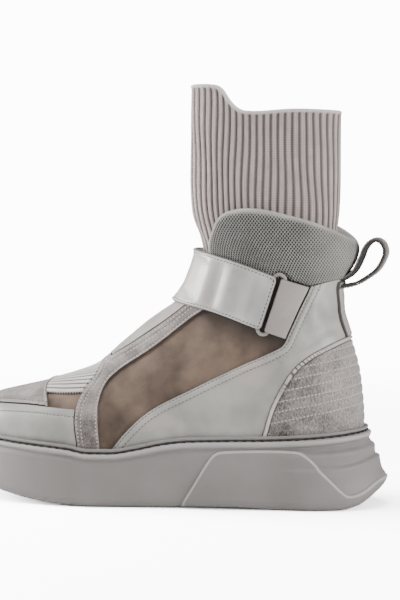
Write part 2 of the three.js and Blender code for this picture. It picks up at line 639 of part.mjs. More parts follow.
function makeToeCap() {
  return layer(gap, leatherTop).intersect(above("randTop")).intersect(before("capRear"));
}

function makeKnitVamp() {
  const area = above("knitLow").intersect(behind("capRear")).intersect(before("stripeFront"));
  return layer(gap, gap + knitThick).intersect(area);
}

// The overlays run on under the strap as far as its seam.
const underStrap = () =>
  closedBy(beside(bandTopLine, strapLap - strapWidth), (end, start) => [
    point(farHeel, end.y),
    point(farHeel, farDown),
    point(farToe, farDown),
    point(farToe, start.y),
  ]);

function makeInstepPanel() {
  return layer(gap, leatherTop).intersect(above("stripeTop")).intersect(underStrap());
}

function makeStripe() {
  const band = behind("stripeFront").intersect(before("stripeRear")).intersect(underStrap());
  return layer(gap, stripeTop).intersect(band).subtract(above("stripeTop", -gap / 2));
}

function makeQuarter() {
  return layer(gap, leatherTop).intersect(quarterArea);
}

function makeCounterPiping() {
  const rim = behind("counterFront").subtract(behind("counterFront", gap / 2 + pipingWidth));
  return layer(gap, pipingTop).intersect(rim);
}

function makeHeelCounter() {
  return layer(gap, gap + counterThick).intersect(behind("counterFront", gap / 2 + pipingWidth + gap));
}

// The ankle strap, its ring and its anchor. The strap's tip leans, and the ring and the anchor lean with it.

const strapTopLine = curve(lines.strapTop);
const bandTopLine = [...strapTopLine, ...curve(lines.anchorTop).slice(1)];
const bandLowLine = beside(bandTopLine, -strapWidth);
const tipHigh = strapTopLine[strapTopLine.length - 1];
const tipLow = bandLowLine[strapTopLine.length - 1];
const tipRun = tipLow.clone().sub(tipHigh).normalize();
const tipBack = point(-tipRun.y, tipRun.x);

// A corner rounded to a radius, between the points before and after it.
const cornerSteps = 4;
function rounded(from, corner, to, radius) {
  const start = corner.clone().add(from.clone().sub(corner).setLength(radius));
  const end = corner.clone().add(to.clone().sub(corner).setLength(radius));
  return new THREE.QuadraticBezierCurve(start, corner, end).getPoints(cornerSteps);
}

// The ring's outline: a slot shape about the middle of the gap between the strap and the anchor.
const ringSteps = 5;
function ringOutline(width) {
  const middle = tipHigh.clone().add(tipLow).divideScalar(2).addScaledVector(tipBack, slotWidth / 2);
  const straight = strapWidth / 2 + ringOverhang - ringWidth / 2;
  const end = (sense) =>
    Array.from({ length: ringSteps + 1 }, (_, k) => {
      const angle = (k / ringSteps) * Math.PI;
      const along = sense * (straight + (width / 2) * Math.sin(angle));
      return middle
        .clone()
        .addScaledVector(tipRun, along)
        .addScaledVector(tipBack, sense * (width / 2) * Math.cos(angle));
    });
  return [...end(1), ...end(-1)];
}
const lateralCut = (outline) => sideCut(outline, -sideReach, 0);
const ringSeat = lateralCut(ringOutline(ringWidth + 2 * gap)).intersect(form(ringTop + gap));

function makeStrapRing() {
  const hole = lateralCut(ringOutline(ringWidth - 2 * ringBar));
  return layer(gap, ringTop).intersect(lateralCut(ringOutline(ringWidth))).subtract(hole);
}

const centreLap = 1; // the strap's two sides share this much about the shoe's middle plane
function makeStrap() {
  const high = beside(bandTopLine, -gap / 2);
  const count = strapTopLine.length - 1;
  const tip = [
    ...rounded(high[count - 1], high[count], tipLow, tipRadius),
    ...rounded(high[count], tipLow, bandLowLine[count - 1], tipRadius),
  ];
  const outline = [...high.slice(0, count), ...tip, ...bandLowLine.slice(0, count).reverse()];
  const lateral = sideCut(outline, -sideReach, centreLap);
  const medial = sideCut([...high, ...[...bandLowLine].reverse()], -centreLap, sideReach);
  const sewn = medial.intersect(before("quarterFront", -strapLap));
  return layer(strapBase, strapBase + strapThick).intersect(lateral.add(sewn));
}

function makeStrapAnchor() {
  const start = tipHigh.clone().addScaledVector(tipBack, slotWidth);
  const end = tipLow.clone().addScaledVector(tipBack, slotWidth);
  const beyond = tipBack.clone().multiplyScalar(strapWidth);
  const area = lateralCut([start, start.clone().add(beyond), end.clone().add(beyond), end]);
  const kept = area.intersect(before("quarterFront")).intersect(lowerUpper);
  return layer(gap, gap + anchorThick).intersect(kept).subtract(ringSeat);
}

// The sock

const sockRows = 7;
function sockLoop(rise, inset) {
  const read = (column) => tableAt(sockLoops, "rise", column, rise);
  const front = xOf(read("front")) + inset;
  const back = xOf(read("back")) - inset;
  const half = (read("depth") * sockDepth) / 2 - inset;
  return Array.from({ length: 2 * sockSteps }, (_, k) => {
    const angle = ((k + 0.5) / sockSteps) * Math.PI;
    const along = Math.sign(Math.cos(angle)) * Math.abs(Math.cos(angle)) ** sockFlat;
    const out = Math.sign(Math.sin(angle)) * Math.abs(Math.sin(angle)) ** sockFlat;
    return new THREE.Vector3(
      (front + back) / 2 + ((back - front) / 2) * along,
      half * out,
      heelHeight + rise * sockRise,
    );
  });
}

// The sock as a block, grown inwards by an inset. over carries its ends on, so that it can cut right through.
const sockFrom = sockLoops[0].rise;
const sockTo = sockLoops[sockLoops.length - 1].rise;
function sockBody(inset, over = 0) {
  const riseOf = (k) => sockFrom + ((sockTo - sockFrom) * k) / sockRows;
  const rises = Array.from({ length: sockRows + 1 }, (_, k) => riseOf(k));
  const loops = rises.map((rise) => sockLoop(rise, inset));
  const moved = (loop, rise) => loop.map((p) => p.clone().setZ(p.z + rise));
  return loft(over ? [moved(loops[0], -over), ...loops, moved(loops[sockRows], over)] : loops);
}

function makeSock() {
  const rim = sockRim.map(({ s, rise }) => point(xOf(s), heelHeight + rise * sockRise));
  const top = smooth(rim);
  const straight = sideCut([...top, point(top[top.length - 1].x, farDown), point(top[0].x, farDown)]);
  const lean = new THREE.Matrix4().makeShear(0, 0, -rimLean, 0, 0, 0);
  const underRim = straight.transform(lean.elements).translate([(-rimLean * sockDepth) / 2, 0, 0]);
  const tube = sockBody(0).subtract(sockBody(sockThick, throughLift)).intersect(underRim);
  return tube.intersect(form(-wallThick - gap, 0, sockRise));
}

// The padded collar: thin under the strap, swelling above it, and hollow for the sock.
function makeCollar() {
  const swollen = closedBy(beside(bandTopLine, gap / 2), (end, start) => [
    point(farHeel, end.y),
    point(farHeel, farUp),
    point(start.x, farUp),
  ]);
  const outer = form(collarPuff).intersect(swollen).add(form(leatherTop));
  const region = above("collarFoot").intersect(below("collarTop", 0));
  const seat = lateralCut(ringOutline(ringWidth + 2 * gap));
  return outer.intersect(region).subtract(sockBody(-gap, throughLift)).subtract(seat.subtract(form(0)));
}

// The back stay and the pull loop

function makeBackStay() {
  const half = bandWidth / 2;
  const high = spot(loopRoot);
  const outline = [point(0, farDown), point(farHeel, farDown), point(farHeel, high.y), point(0, high.y)];
  const area = sideCut(outline, -half, half);
  const kept = area.subtract(behind("counterFront", -gap / 2));
  return layer(leatherTop + gap, leatherTop + gap + leatherThick).intersect(kept);
}

// A band between two distances beside the loop's path.
function loopBand(inner, outer) {
  const root = spot(loopRoot);
  const path = loopPath.map(({ back, up }) => point(root.x + back * upperRise, root.y + up * upperRise));
  const line = smooth(path);
  return sideCut([...beside(line, outer), ...beside(line, inner).reverse()], -bandWidth / 2, bandWidth / 2);
}

// Materials, and the parts put together

const materials = {
  moulded: { color: 0x9a9794, roughness: 0.62 },
  leather: { color: 0xc9c6c0, roughness: 0.5 },
  suede: { color: 0xa8a09d, roughness: 0.9 },
  nubuck: { color: 0x857568, roughness: 0.85 },
  knit: { color: 0xb0a7a4, roughness: 0.92 },
  mesh: { color: 0xa9a5a2, roughness: 0.85 },
  lining: { color: 0x6f6c69, roughness: 0.85 },
};
const pieces = [
  { name: "sole", finish: "moulded", make: makeSole },
  { name: "welt", finish: "moulded", make: makeWelt },
  { name: "insole", finish: "lining", make: makeInsole },
  { name: "upper", finish: "nubuck", make: makeUpper },
  { name: "toe_rand", finish: "leather", make: makeToeRand },
  { name: "toe_cap", finish: "suede", make: makeToeCap },
  { name: "knit_vamp", finish: "knit", make: makeKnitVamp },
  { name: "instep_panel", finish: "leather", make: makeInstepPanel },
  { name: "side_stripe", finish: "suede", make: makeStripe },
  { name: "quarter", finish: "leather", make: makeQuarter },
  { name: "heel_counter", finish: "suede", make: makeHeelCounter },
  { name: "counter_piping", finish: "leather", make: makeCounterPiping },
  { name: "collar", finish: "mesh", make: makeCollar },
  { name: "sock", finish: "knit", make: makeSock },
  { name: "strap", finish: "leather", make: makeStrap },
  { name: "strap_ring", finish: "leather", make: makeStrapRing },
  { name: "strap_anchor", finish: "leather", make: makeStrapAnchor },
  { name: "back_stay", finish: "leather", make: makeBackStay },
  { name: "pull_loop", finish: "leather", make: () => loopBand(gap / 2, gap / 2 + bandThick) },
  { name: "loop_lining", finish: "lining", make: () => loopBand(-gap / 2 - bandThick, -gap / 2) },
];

const boot = new THREE.Group();
for (const { name, finish, make } of pieces) {
  const { vertProperties, triVerts } = make().getMesh();
  const geometry = new THREE.BufferGeometry();
  geometry.setAttribute("position", new THREE.BufferAttribute(vertProperties, 3));
  geometry.setIndex(new THREE.BufferAttribute(triVerts, 1));
  const material = new THREE.MeshStandardMaterial({ ...materials[finish], metalness: 0 });
  const mesh = new THREE.Mesh(geometry, material);
  mesh.name = name;
  boot.add(mesh);
}

export default boot;
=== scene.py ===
# A sneaker boot for a left foot: a thick moulded sole, a bootie upper under leather and suede overlays, a
# padded mesh
# collar, a ribbed knit sock shaft, an ankle strap that ends at an oval ring, and a heel loop. Its shapes
# are worked
# out in millimetres along the frame's axes, toe along -X and the outer side of the foot along -Y, and every
# mesh is
# written in metres.
import math

import bpy
import numpy as np
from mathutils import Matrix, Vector
from mathutils.bvhtree import BVHTree


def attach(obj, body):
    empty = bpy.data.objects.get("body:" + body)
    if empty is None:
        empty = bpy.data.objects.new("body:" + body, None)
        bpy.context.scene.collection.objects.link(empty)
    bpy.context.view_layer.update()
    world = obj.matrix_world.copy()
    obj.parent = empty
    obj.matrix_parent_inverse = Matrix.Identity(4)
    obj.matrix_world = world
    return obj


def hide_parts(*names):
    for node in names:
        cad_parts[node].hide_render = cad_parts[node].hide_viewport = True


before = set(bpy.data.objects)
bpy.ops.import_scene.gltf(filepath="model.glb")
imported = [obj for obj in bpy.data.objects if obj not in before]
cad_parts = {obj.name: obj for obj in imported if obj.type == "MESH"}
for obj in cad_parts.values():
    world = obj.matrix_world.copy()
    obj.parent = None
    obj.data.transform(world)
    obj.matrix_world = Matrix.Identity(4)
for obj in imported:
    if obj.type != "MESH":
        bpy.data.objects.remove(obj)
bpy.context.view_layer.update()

# Sole
# One moulded block of foamed rubber, matt grey, with a rim bead on top, a raised panel on each side, three
# soft
# bumper ribs round the heel and grooves across its tread.

MM = 0.001
FOOT_LENGTH = 267
HEEL_BACK = 31
BALL_LATERAL = 47
BALL_MEDIAL = 49
WAIST_LATERAL = 39
WAIST_MEDIAL = 33
SEAT_WIDTH = 67
TOE_SHIFT = 9
HEEL_HEIGHT = 45
UPPER_RISE = 150
GAP = 0.3
SEAT_SHARE = 0.14
END_STRETCH = 0.3
SOLE_STATIONS = 260
SOLE_ROW = 0.75
CAP_STEPS = 16
PANEL_THICK = 1.7
PANEL_BEVEL = 2.0
GROOVE_DEPTH = 1.4
GROOVE_WIDTH = 3
GROOVE_PITCH = 9
GROOVE_EDGE = 1.2
RIB_SIDE = 1.3
RIB_FADE = (-25, 12)
RING_COLUMNS = ("level", "side", "heel", "toe")


def columns(names, rows):
    """A table as one array for each of its named columns."""
    return dict(zip(names.split(), np.array(rows, float).T))


# share runs forwards from the upper's heel in parts of FOOT_LENGTH. top and bottom are parts of
# HEEL_HEIGHT, as is
# datum, the line that heights on the upper are measured from.
sole_profile = columns(
    "share datum top bottom",
    [
        (-0.07, 1.08, 1.08, 0.44), (-0.052, 1.08, 1.08, 0.3), (-0.03, 1.08, 1.08, 0.17),
        (0, 1.07, 1.07, 0.05),
        (0.04, 1.05, 1.05, 0), (0.2, 1.0, 0.985, 0), (0.3, 0.97, 0.972, 0.025), (0.4, 0.93, 0.95, 0.02),
        (0.46, 0.89, 0.908, 0), (0.53, 0.8, 0.82, 0), (0.59, 0.7, 0.766, 0), (0.645, 0.68, 0.764, 0),
        (0.7, 0.695, 0.817, 0.015), (0.78, 0.74, 0.853, 0.06), (0.88, 0.8, 0.888, 0.155),
        (0.98, 0.85, 0.92, 0.29),
        (1.06, 0.88, 0.945, 0.45),
    ],
)

# The sole's rings from the ground up: level is a part of the local height, the rest is how far outside the
# upper.
sole_rings = columns(
    "level side heel toe",
    [
        (0, 4, 14, 4), (0.03, 6.2, 15.4, 6.6), (0.075, 7.4, 16.4, 8), (0.13, 7.9, 16.4, 8.5),
        (0.19, 8, 15.7, 8.6),
        (0.32, 8, 13.9, 8.6), (0.5, 7.8, 12.5, 8.2), (0.555, 7.7, 12.2, 8), (0.59, 7.65, 11.2, 7.95),
        (0.625, 7.6, 9.7, 7.9), (0.68, 7.5, 9.4, 7.7), (0.755, 7.3, 9.2, 7.5), (0.79, 7.2, 8.4, 7.4),
        (0.825, 6.9, 6.9, 7.1), (0.865, 6.2, 6.1, 6.4), (0.89, 5.7, 5.6, 6), (0.91, 6, 5.9, 6.2),
        (0.93, 6.8, 6.5, 6.9), (0.96, 7, 6.7, 7.1), (0.985, 6.7, 6.3, 6.8), (1, 5.4, 4.9, 5.6),
    ],
)
sole_rings["place"] = np.arange(len(sole_rings["level"]), dtype=float)

# The raised panel: x in parts of FOOT_LENGTH ahead of the origin, z in parts of HEEL_HEIGHT.
panel_outline = [
    (-0.3, -0.2), (-0.294, 0), (-0.262, 0.33), (-0.22, 0.73), (-0.208, 0.79), (-0.19, 0.81), (-0.03, 0.825),
    (-0.01, 0.81), (0.006, 0.75), (0.04, 0.53), (0.087, 0.235), (0.098, 0.19), (0.115, 0.185), (0.14, 0.25),
    (0.17, 0.38), (0.22, 0.42), (0.22, -0.2),
]
FIRST_GROOVE = 0.77
LAST_GROOVE = 0.47
HEEL_GROOVES = [0.065, 0.175]

outline_sides = {
    "lateral": {"sign": -1, "ball_s": 0.68, "ball": BALL_LATERAL, "waist_s": 0.38, "waist": WAIST_LATERAL,
                "toe": 1.9},
    "medial": {"sign": 1, "ball_s": 0.745, "ball": BALL_MEDIAL, "waist_s": 0.42, "waist": WAIST_MEDIAL,
               "toe": 2.3},
}


def table_at(table, key, column, value):
    """A smooth curve through one column of a table, with no overshoot between its rows."""
    keys, values = table[key], table[column]
    rise = np.diff(values) / np.diff(keys)
    before, after = rise[:-1], rise[1:]
    same = before * after > 0
    inner = np.where(same, 2 * before * after / np.where(same, before + after, 1), 0)
    slope = np.concatenate([rise[:1], inner, rise[-1:]])
    value = np.clip(value, keys[0], keys[-1])
    i = np.clip(np.searchsorted(keys, value, side="right") - 1, 0, len(keys) - 2)
    span = keys[i + 1] - keys[i]
    t = (value - keys[i]) / span
    ends = values[i] * (1 + 2 * t) * (1 - t) ** 2 + values[i + 1] * t * t * (3 - 2 * t)
    return ends + span * (slope[i] * t * (1 - t) ** 2 + slope[i + 1] * t * t * (t - 1))


def x_of(share):
    return HEEL_BACK - share * FOOT_LENGTH


def sole_top(x):
    return HEEL_HEIGHT * table_at(sole_profile, "share", "top", (HEEL_BACK - x) / FOOT_LENGTH)


def datum(x):
    return HEEL_HEIGHT * table_at(sole_profile, "share", "datum", (HEEL_BACK - x) / FOOT_LENGTH)


def sole_bottom(x):
    return HEEL_HEIGHT * table_at(sole_profile, "share", "bottom", (HEEL_BACK - x) / FOOT_LENGTH)


def eased(start, end, t):
    return start + (end - start) * (0.5 - 0.5 * np.cos(np.pi * t))


def ramp(value, low, high):
    """0 below low, 1 above high, and smooth between."""
    t = np.clip((value - low) / (high - low), 0, 1)
    return t * t * (3 - 2 * t)


def edge_y(x, side, grow_side=0.0, grow_heel=0.0, grow_toe=0.0):
    """The foot outline's y at x on one side, grown outwards at the side, heel and toe."""
    row = outline_sides[side]
    sign = row["sign"]
    toe_x, back_x = x_of(1) - grow_toe, HEEL_BACK + grow_heel
    ball_x, waist_x, seat_x = x_of(row["ball_s"]), x_of(row["waist_s"]), x_of(SEAT_SHARE)
    widest, narrow = sign * (row["ball"] + grow_side), sign * (row["waist"] + grow_side)
    seat = sign * (SEAT_WIDTH / 2 + grow_side)
    u = np.clip((ball_x - x) / (ball_x - toe_x), 0, 1)
    fore = TOE_SHIFT + (widest - TOE_SHIFT) * (1 - u ** row["toe"]) ** (1 / row["toe"])
    mid = eased(widest, narrow, np.clip((x - ball_x) / (waist_x - ball_x), 0, 1))
    rear = eased(narrow, seat, np.clip((x - waist_x) / (seat_x - waist_x), 0, 1))
    round_back = seat * np.sqrt(np.clip(1 - np.clip((x - seat_x) / (back_x - seat_x), 0, 1) ** 2, 0, 1))
    return np.select([x < ball_x, x < waist_x, x < seat_x], [fore, mid, rear], round_back)


def ring_points(level, side, heel, toe, rise=0.0):
    """One closed ring from the toe along the outer side to the heel, and back along the inner side."""
    t = eased(0, 1, np.linspace(0, 1, SOLE_STATIONS + 1))
    toeward = np.clip(1 - t / END_STRETCH, 0, None) ** 2
    heelward = np.clip(1 - (1 - t) / END_STRETCH, 0, None) ** 2
    x = x_of(1 - t) - toe * toeward + heel * heelward
    z = sole_bottom(x) + (sole_top(x) - sole_bottom(x)) * level + rise
    outer = np.stack([x, edge_y(x, "lateral", side, heel, toe), z], 1)
    inner = np.stack([x, edge_y(x, "medial", side, heel, toe), z], 1)
    return np.concatenate([outer, inner[-2:0:-1]])


def grid_triangles(index):
    """Two triangles for each cell of a grid of point numbers, without those that collapse."""
    a, b, c, d = index[:-1, :-1], index[:-1, 1:], index[1:, 1:], index[1:, :-1]
    found = np.concatenate([np.stack([a, b, c], -1).reshape(-1, 3), np.stack([a, c, d], -1).reshape(-1, 3)])
    x, y, z = found.T
    return found[(x != y) & (y != z) & (z != x)]


def point_normals(points, triangles):
    face = np.cross(points[triangles[:, 1]] - points[triangles[:, 0]],
                    points[triangles[:, 2]] - points[triangles[:, 0]])
    total = np.zeros_like(points)
    for corner in range(3):
        np.add.at(total, triangles[:, corner], face)
    return total / np.maximum(np.linalg.norm(total, axis=1, keepdims=True), 1e-12)


def split(data, triangles, value, level):
    """Cuts triangles along the line where value is level. Gives the data, the triangles, and which
    lie above it."""
    f = value - level
    f = np.where(np.abs(f) < 1e-6, 1e-6, f)
    up = f > 0
    count = up[triangles].sum(1)
    mixed = (count > 0) & (count < 3)
    whole, cut = triangles[~mixed], triangles[mixed]
    if not len(cut):
        return data, whole, count[~mixed] == 3
    lone_up = up[cut].sum(1) == 1
    first = (up[cut] == lone_up[:, None]).argmax(1)
    a, b, c = np.take_along_axis(cut, (first[:, None] + np.arange(3)) % 3, 1).T
    ends = np.sort(np.concatenate([np.stack([a, b], 1), np.stack([a, c], 1)]), 1)
    edges, where = np.unique(ends, axis=0, return_inverse=True)
    p, q = edges.T
    t = (f[p] / (f[p] - f[q]))[:, None]
    data = np.concatenate([data, data[p] * (1 - t) + data[q] * t])
    where = where.ravel() + len(value)
    ab, ac = where[: len(cut)], where[len(cut) :]
    parts = [np.stack([a, ab, ac], 1), np.stack([ab, b, c], 1), np.stack([ab, c, ac], 1)]
    above = np.concatenate([count[~mixed] == 3, lone_up, ~lone_up, ~lone_up])
    return data, np.concatenate([whole, *parts]), above


def line_distance(line, x, z):
    """How far points of the side view lie to the left of a line as it runs. Its ends run on straight."""
    start, run = line[:-1], np.diff(line, axis=0)
    px, pz = x[:, None] - start[:, 0], z[:, None] - start[:, 1]
    t = (px * run[:, 0] + pz * run[:, 1]) / (run**2).sum(1)
    t[:, 1:] = np.maximum(t[:, 1:], 0)
    t[:, :-1] = np.minimum(t[:, :-1], 1)
    apart = (px - t * run[:, 0]) ** 2 + (pz - t * run[:, 1]) ** 2
    nearest = apart.argmin(1)
    rows = np.arange(len(x))
    side = run[nearest, 0] * pz[rows, nearest] - run[nearest, 1] * px[rows, nearest]
    return np.where(side >= 0, 1, -1) * np.sqrt(apart[rows, nearest])


def smooth(points, steps=6):
    """A smooth line through points, with its steps spread by the square root of their distances."""
    points = np.array(points, float)
    p = np.vstack([2 * points[0] - points[1], points, 2 * points[-1] - points[-2]])
    knot = np.sqrt(np.linalg.norm(np.diff(p, axis=0), axis=1))
    line = []
    for i in range(len(points) - 1):
        d0, d1, d2 = knot[i : i + 3]
        p0, p1, p2, p3 = p[i : i + 4]
        out = ((p1 - p0) / d0 - (p2 - p0) / (d0 + d1) + (p2 - p1) / d1) * d1
        into = ((p2 - p1) / d1 - (p3 - p1) / (d1 + d2) + (p3 - p2) / d2) * d1
        t = (np.arange(steps) / steps)[:, None]
        bend = (3 * (p2 - p1) - 2 * out - into) * t**2 + (2 * (p1 - p2) + out + into) * t**3
        line.append(p1 + out * t + bend)
    return np.vstack([*line, points[-1:]])


def add_node(tree, kind, settings=None, **values):
    """A shader or geometry node with its settings, and each input given as a value or as another
    node's output."""
    node = tree.nodes.new(kind)
    for name, value in (settings or {}).items():
        setattr(node, name, value)
    for name, value in values.items():
        socket = node.inputs[int(name[1:])] if name[1:].isdigit() else node.inputs[name.replace("_", " ")]
        if isinstance(value, bpy.types.NodeSocket):
            tree.links.new(value, socket)
        else:
            socket.default_value = value
    return node


def maths(tree, operation, a, b=0.0, c=0.0):
    return add_node(tree, "ShaderNodeMath", {"operation": operation}, i0=a, i1=b, i2=c).outputs[0]


def mixed(tree, factor, first, second):
    """A blend of two colours."""
    node = add_node(tree, "ShaderNodeMix", {"data_type": "RGBA"}, i0=factor, i6=first, i7=second)
    return node.outputs[2]


def spread(tree, value, low, high, start=0.0, end=1.0):
    """A value's range from low to high, spread over start to end."""
    settings = {"interpolation_type": "SMOOTHSTEP"}
    node = add_node(tree, "ShaderNodeMapRange", settings, Value=value, i1=low, i2=high, i3=start, i4=end)
    return node.outputs[0]


def tone(red, green, blue):
    """A colour from the three numbers of 0 to 255 that a paint card gives."""
    share = [value / 255 for value in (red, green, blue)]
    return (*[v / 12.92 if v <= 0.04045 else ((v + 0.055) / 1.055) ** 2.4 for v in share], 1.0)


def new_group(name, inputs, outputs):
    """A shader node group with its inputs and their values, and its outputs."""
    tree = bpy.data.node_groups.new(name, "ShaderNodeTree")
    for title, kind, value in inputs:
        socket = tree.interface.new_socket(title, in_out="INPUT", socket_type=kind)
        if value is not None:
            socket.default_value = value
    for title, kind in outputs:
        tree.interface.new_socket(title, in_out="OUTPUT", socket_type=kind)
    return tree, tree.nodes.new("NodeGroupInput").outputs, tree.nodes.new("NodeGroupOutput").inputs


# Soft uneven tone over a surface: large blotches and small flecks, from 0 to 1.
mottle_group, given, result = new_group(
    "mottle",
    [("Vector", "NodeSocketVector", None), ("Size", "NodeSocketFloat", 20.0),
     ("Flecks", "NodeSocketFloat", 0.2)],
    [("Amount", "NodeSocketFloat")],
)
blotch_scale = maths(mottle_group, "DIVIDE", 1.0, given["Size"])
blotch = add_node(mottle_group, "ShaderNodeTexNoise", Vector=given["Vector"], Scale=blotch_scale, Detail=3.0)
fleck = add_node(mottle_group, "ShaderNodeTexNoise", Vector=given["Vector"], Scale=1.3, Detail=2.0)
blended = add_node(mottle_group, "ShaderNodeMix", i0=given["Flecks"], i2=blotch.outputs[0],
                   i3=fleck.outputs[0])
mottle_group.links.new(spread(mottle_group, blended.outputs[0], 0.3, 0.7), result["Amount"])


def new_material(name):
    """A material with one shader. Gives it, its tree, its shader and its surface coordinates in
    millimetres."""
    material = bpy.data.materials.new(name)
    material.use_nodes = True
    tree = material.node_tree
    shader = tree.nodes["Principled BSDF"]
    place = add_node(tree, "ShaderNodeTexCoord").outputs["Object"]
    scaled = add_node(tree, "ShaderNodeMapping", {"vector_type": "POINT"}, Vector=place, Scale=(1 / MM,) * 3)
    return material, tree, shader, scaled.outputs[0]


def group_in(tree, group, **values):
    return add_node(tree, "ShaderNodeGroup", {"node_tree": group}, **values).outputs


def attribute(tree, name):
    """What a piece's points hold under this name."""
    return add_node(tree, "ShaderNodeAttribute", {"attribute_name": name}).outputs["Fac"]


def mottle(tree, place, size, flecks):
    """Cloudy patches of this size, with finer flecks in them."""
    return group_in(tree, mottle_group, Vector=place, Size=size, Flecks=flecks)["Amount"]


def set_values(node, values):
    for name, value in values.items():
        node.inputs[name].default_value = value


def bump(tree, shader, height, distance):
    """A bump whose height of 1 stands this many millimetres high."""
    node = add_node(tree, "ShaderNodeBump", Strength=1.0, Distance=distance * MM, Height=height)
    tree.links.new(node.outputs[0], shader.inputs["Normal"])


def moulded_finish(name, dark, light, roughness):
    """Foamed rubber: nearly even, with a faint bloom and a skin of very fine pits, paler with a
    painted highlight on the panel bevels and the rim bead, and dark with painted shade in the welt's groove."""
    material, tree, shader, place = new_material(name)
    bloom = mottle(tree, place, 45.0, 0.25)
    # Painted highlight: a paler tone on the marked panel bevels and rim bead.
    wear_and_highlight = attribute(tree, "wear_and_highlight")
    paler_tone = mixed(tree, wear_and_highlight, mixed(tree, bloom, dark, light), tone(186, 182, 179))
    # Painted shade: near black where the welt sinks into the groove over the sole's rim.
    groove_shade = attribute(tree, "groove_shade")
    tree.links.new(mixed(tree, groove_shade, paler_tone, tone(72, 68, 65)), shader.inputs["Base Color"])
    tree.links.new(spread(tree, bloom, 0.0, 1.0, roughness + 0.06, roughness - 0.04),
                   shader.inputs["Roughness"])
    pits = add_node(tree, "ShaderNodeTexNoise", Vector=place, Scale=2.6, Detail=3.0)
    bump(tree, shader, pits.outputs[0], 0.06)
    set_values(shader, {"Specular IOR Level": 0.35})
    return material


def add_piece(name, points, faces, material, nodes, attributes=None, sharp=40):
    """A mesh from points in millimetres, smooth but for its sharp edges, riding on the boot."""
    mesh = bpy.data.meshes.new(name)
    mesh.from_pydata((np.asarray(points) * MM).tolist(), [], [list(map(int, face)) for face in faces])
    for title, values in (attributes or {}).items():
        mesh.attributes.new(title, "FLOAT", "POINT").data.foreach_set("value", np.asarray(values, np.float32))
    mesh.polygons.foreach_set("use_smooth", np.ones(len(mesh.polygons), bool))
    mesh.set_sharp_from_angle(angle=math.radians(sharp))
    mesh.materials.append(material)
    made = bpy.data.objects.new(name, mesh)
    bpy.context.scene.collection.objects.link(made)
    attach(made, "root")
    if nodes:
        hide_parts(*nodes)
    return made


def cap_grid(ring, points, raise_to):
    """Closes a ring with a grid between the points that face each other, at the heights that
    raise_to gives."""
    count = len(ring)
    index = np.zeros((SOLE_STATIONS + 1, CAP_STEPS + 1), int)
    added = []
    for k in range(SOLE_STATIONS + 1):
        outer, inner = ring[k], ring[(count - k) % count]
        index[k, 0], index[k, -1] = outer, inner
        for step in range(1, CAP_STEPS):
            if outer == inner:
                index[k, step] = outer
                continue
            t = step / CAP_STEPS
            index[k, step] = len(points) + len(added)
            added.append(points[outer] * (1 - t) + points[inner] * t)
    added = np.array(added)
    added[:, 2] = raise_to(added[:, 0], added[:, 1])
    return index, np.concatenate([points, added])


def tread_height(x, y):
    grooves = [x_of(share) for share in HEEL_GROOVES]
    grooves += list(np.arange(x_of(FIRST_GROOVE), x_of(LAST_GROOVE), GROOVE_PITCH))
    apart = np.abs(x[:, None] - np.array(grooves)).min(1)
    inside = np.minimum(y - edge_y(x, "lateral"), edge_y(x, "medial") - y)
    cut = (1 - ramp(apart, GROOVE_WIDTH / 2, GROOVE_WIDTH / 2 + GROOVE_EDGE)) * ramp(inside, 10, 13)
    return sole_bottom(x) + GROOVE_DEPTH * cut


# The heel's outline without its ribs: how far out it stands, at two levels.
HEEL_LINE = ((0.13, 1), (16.4, 4.9))


def ribbed(ring, level, heel):
    """Lets the heel's ribs run forwards along the sole's sides, fading out under the arch."""
    steps = heel - np.interp(level, *HEEL_LINE)
    share = ramp(ring[:, 0], *RIB_FADE) * ramp(level, 0.3, 0.5)
    return ring + np.outer(RIB_SIDE * steps * share * np.sign(ring[:, 1]), (0, 1, 0))


ring_places = np.linspace(0, sole_rings["place"][-1], int(HEEL_HEIGHT / SOLE_ROW) + 1)
sole_rows = []
for place in ring_places:
    level, side, heel, toe = [float(table_at(sole_rings, "place", name, place)) for name in RING_COLUMNS]
    sole_rows.append(ribbed(ring_points(level, side, heel, toe), level, heel))
loop = len(sole_rows[0])
sole_points = np.concatenate(sole_rows)
sole_index = np.arange(len(sole_points)).reshape(len(sole_rows), loop)
around = np.concatenate([sole_index, sole_index[:, :1]], 1)
bottom_index, sole_points = cap_grid(sole_index[0], sole_points, tread_height)
top_index, sole_points = cap_grid(sole_index[-1], sole_points, lambda x, y: sole_top(x))
sole_triangles = np.concatenate(
    [grid_triangles(around), grid_triangles(bottom_index)[:, ::-1], grid_triangles(top_index)]
)
outward = point_normals(sole_points, sole_triangles)
outward[:, 2] = 0
side_share = np.linalg.norm(outward, axis=1, keepdims=True)
outward = np.where(side_share > 0.5, outward / np.maximum(side_share, 0.5), 0)
panel_line = smooth([(x * FOOT_LENGTH, z * HEEL_HEIGHT) for x, z in panel_outline])
sole_data = np.concatenate([sole_points, outward], 1)
for bevel in (-1.0, -0.85, -0.6, -0.3, 0.0):
    height = -line_distance(panel_line, sole_data[:, 0], sole_data[:, 2])
    sole_data, sole_triangles, _ = split(sole_data, sole_triangles, height, bevel * PANEL_BEVEL)
height = -line_distance(panel_line, sole_data[:, 0], sole_data[:, 2])
bevel_share = np.clip(1 + height / PANEL_BEVEL, 0, 1)
raised = PANEL_THICK * np.sqrt(1 - (1 - bevel_share) ** 2)
sole_low = sole_bottom(sole_data[:, 0])
level = (sole_data[:, 2] - sole_low) / (sole_top(sole_data[:, 0]) - sole_low)
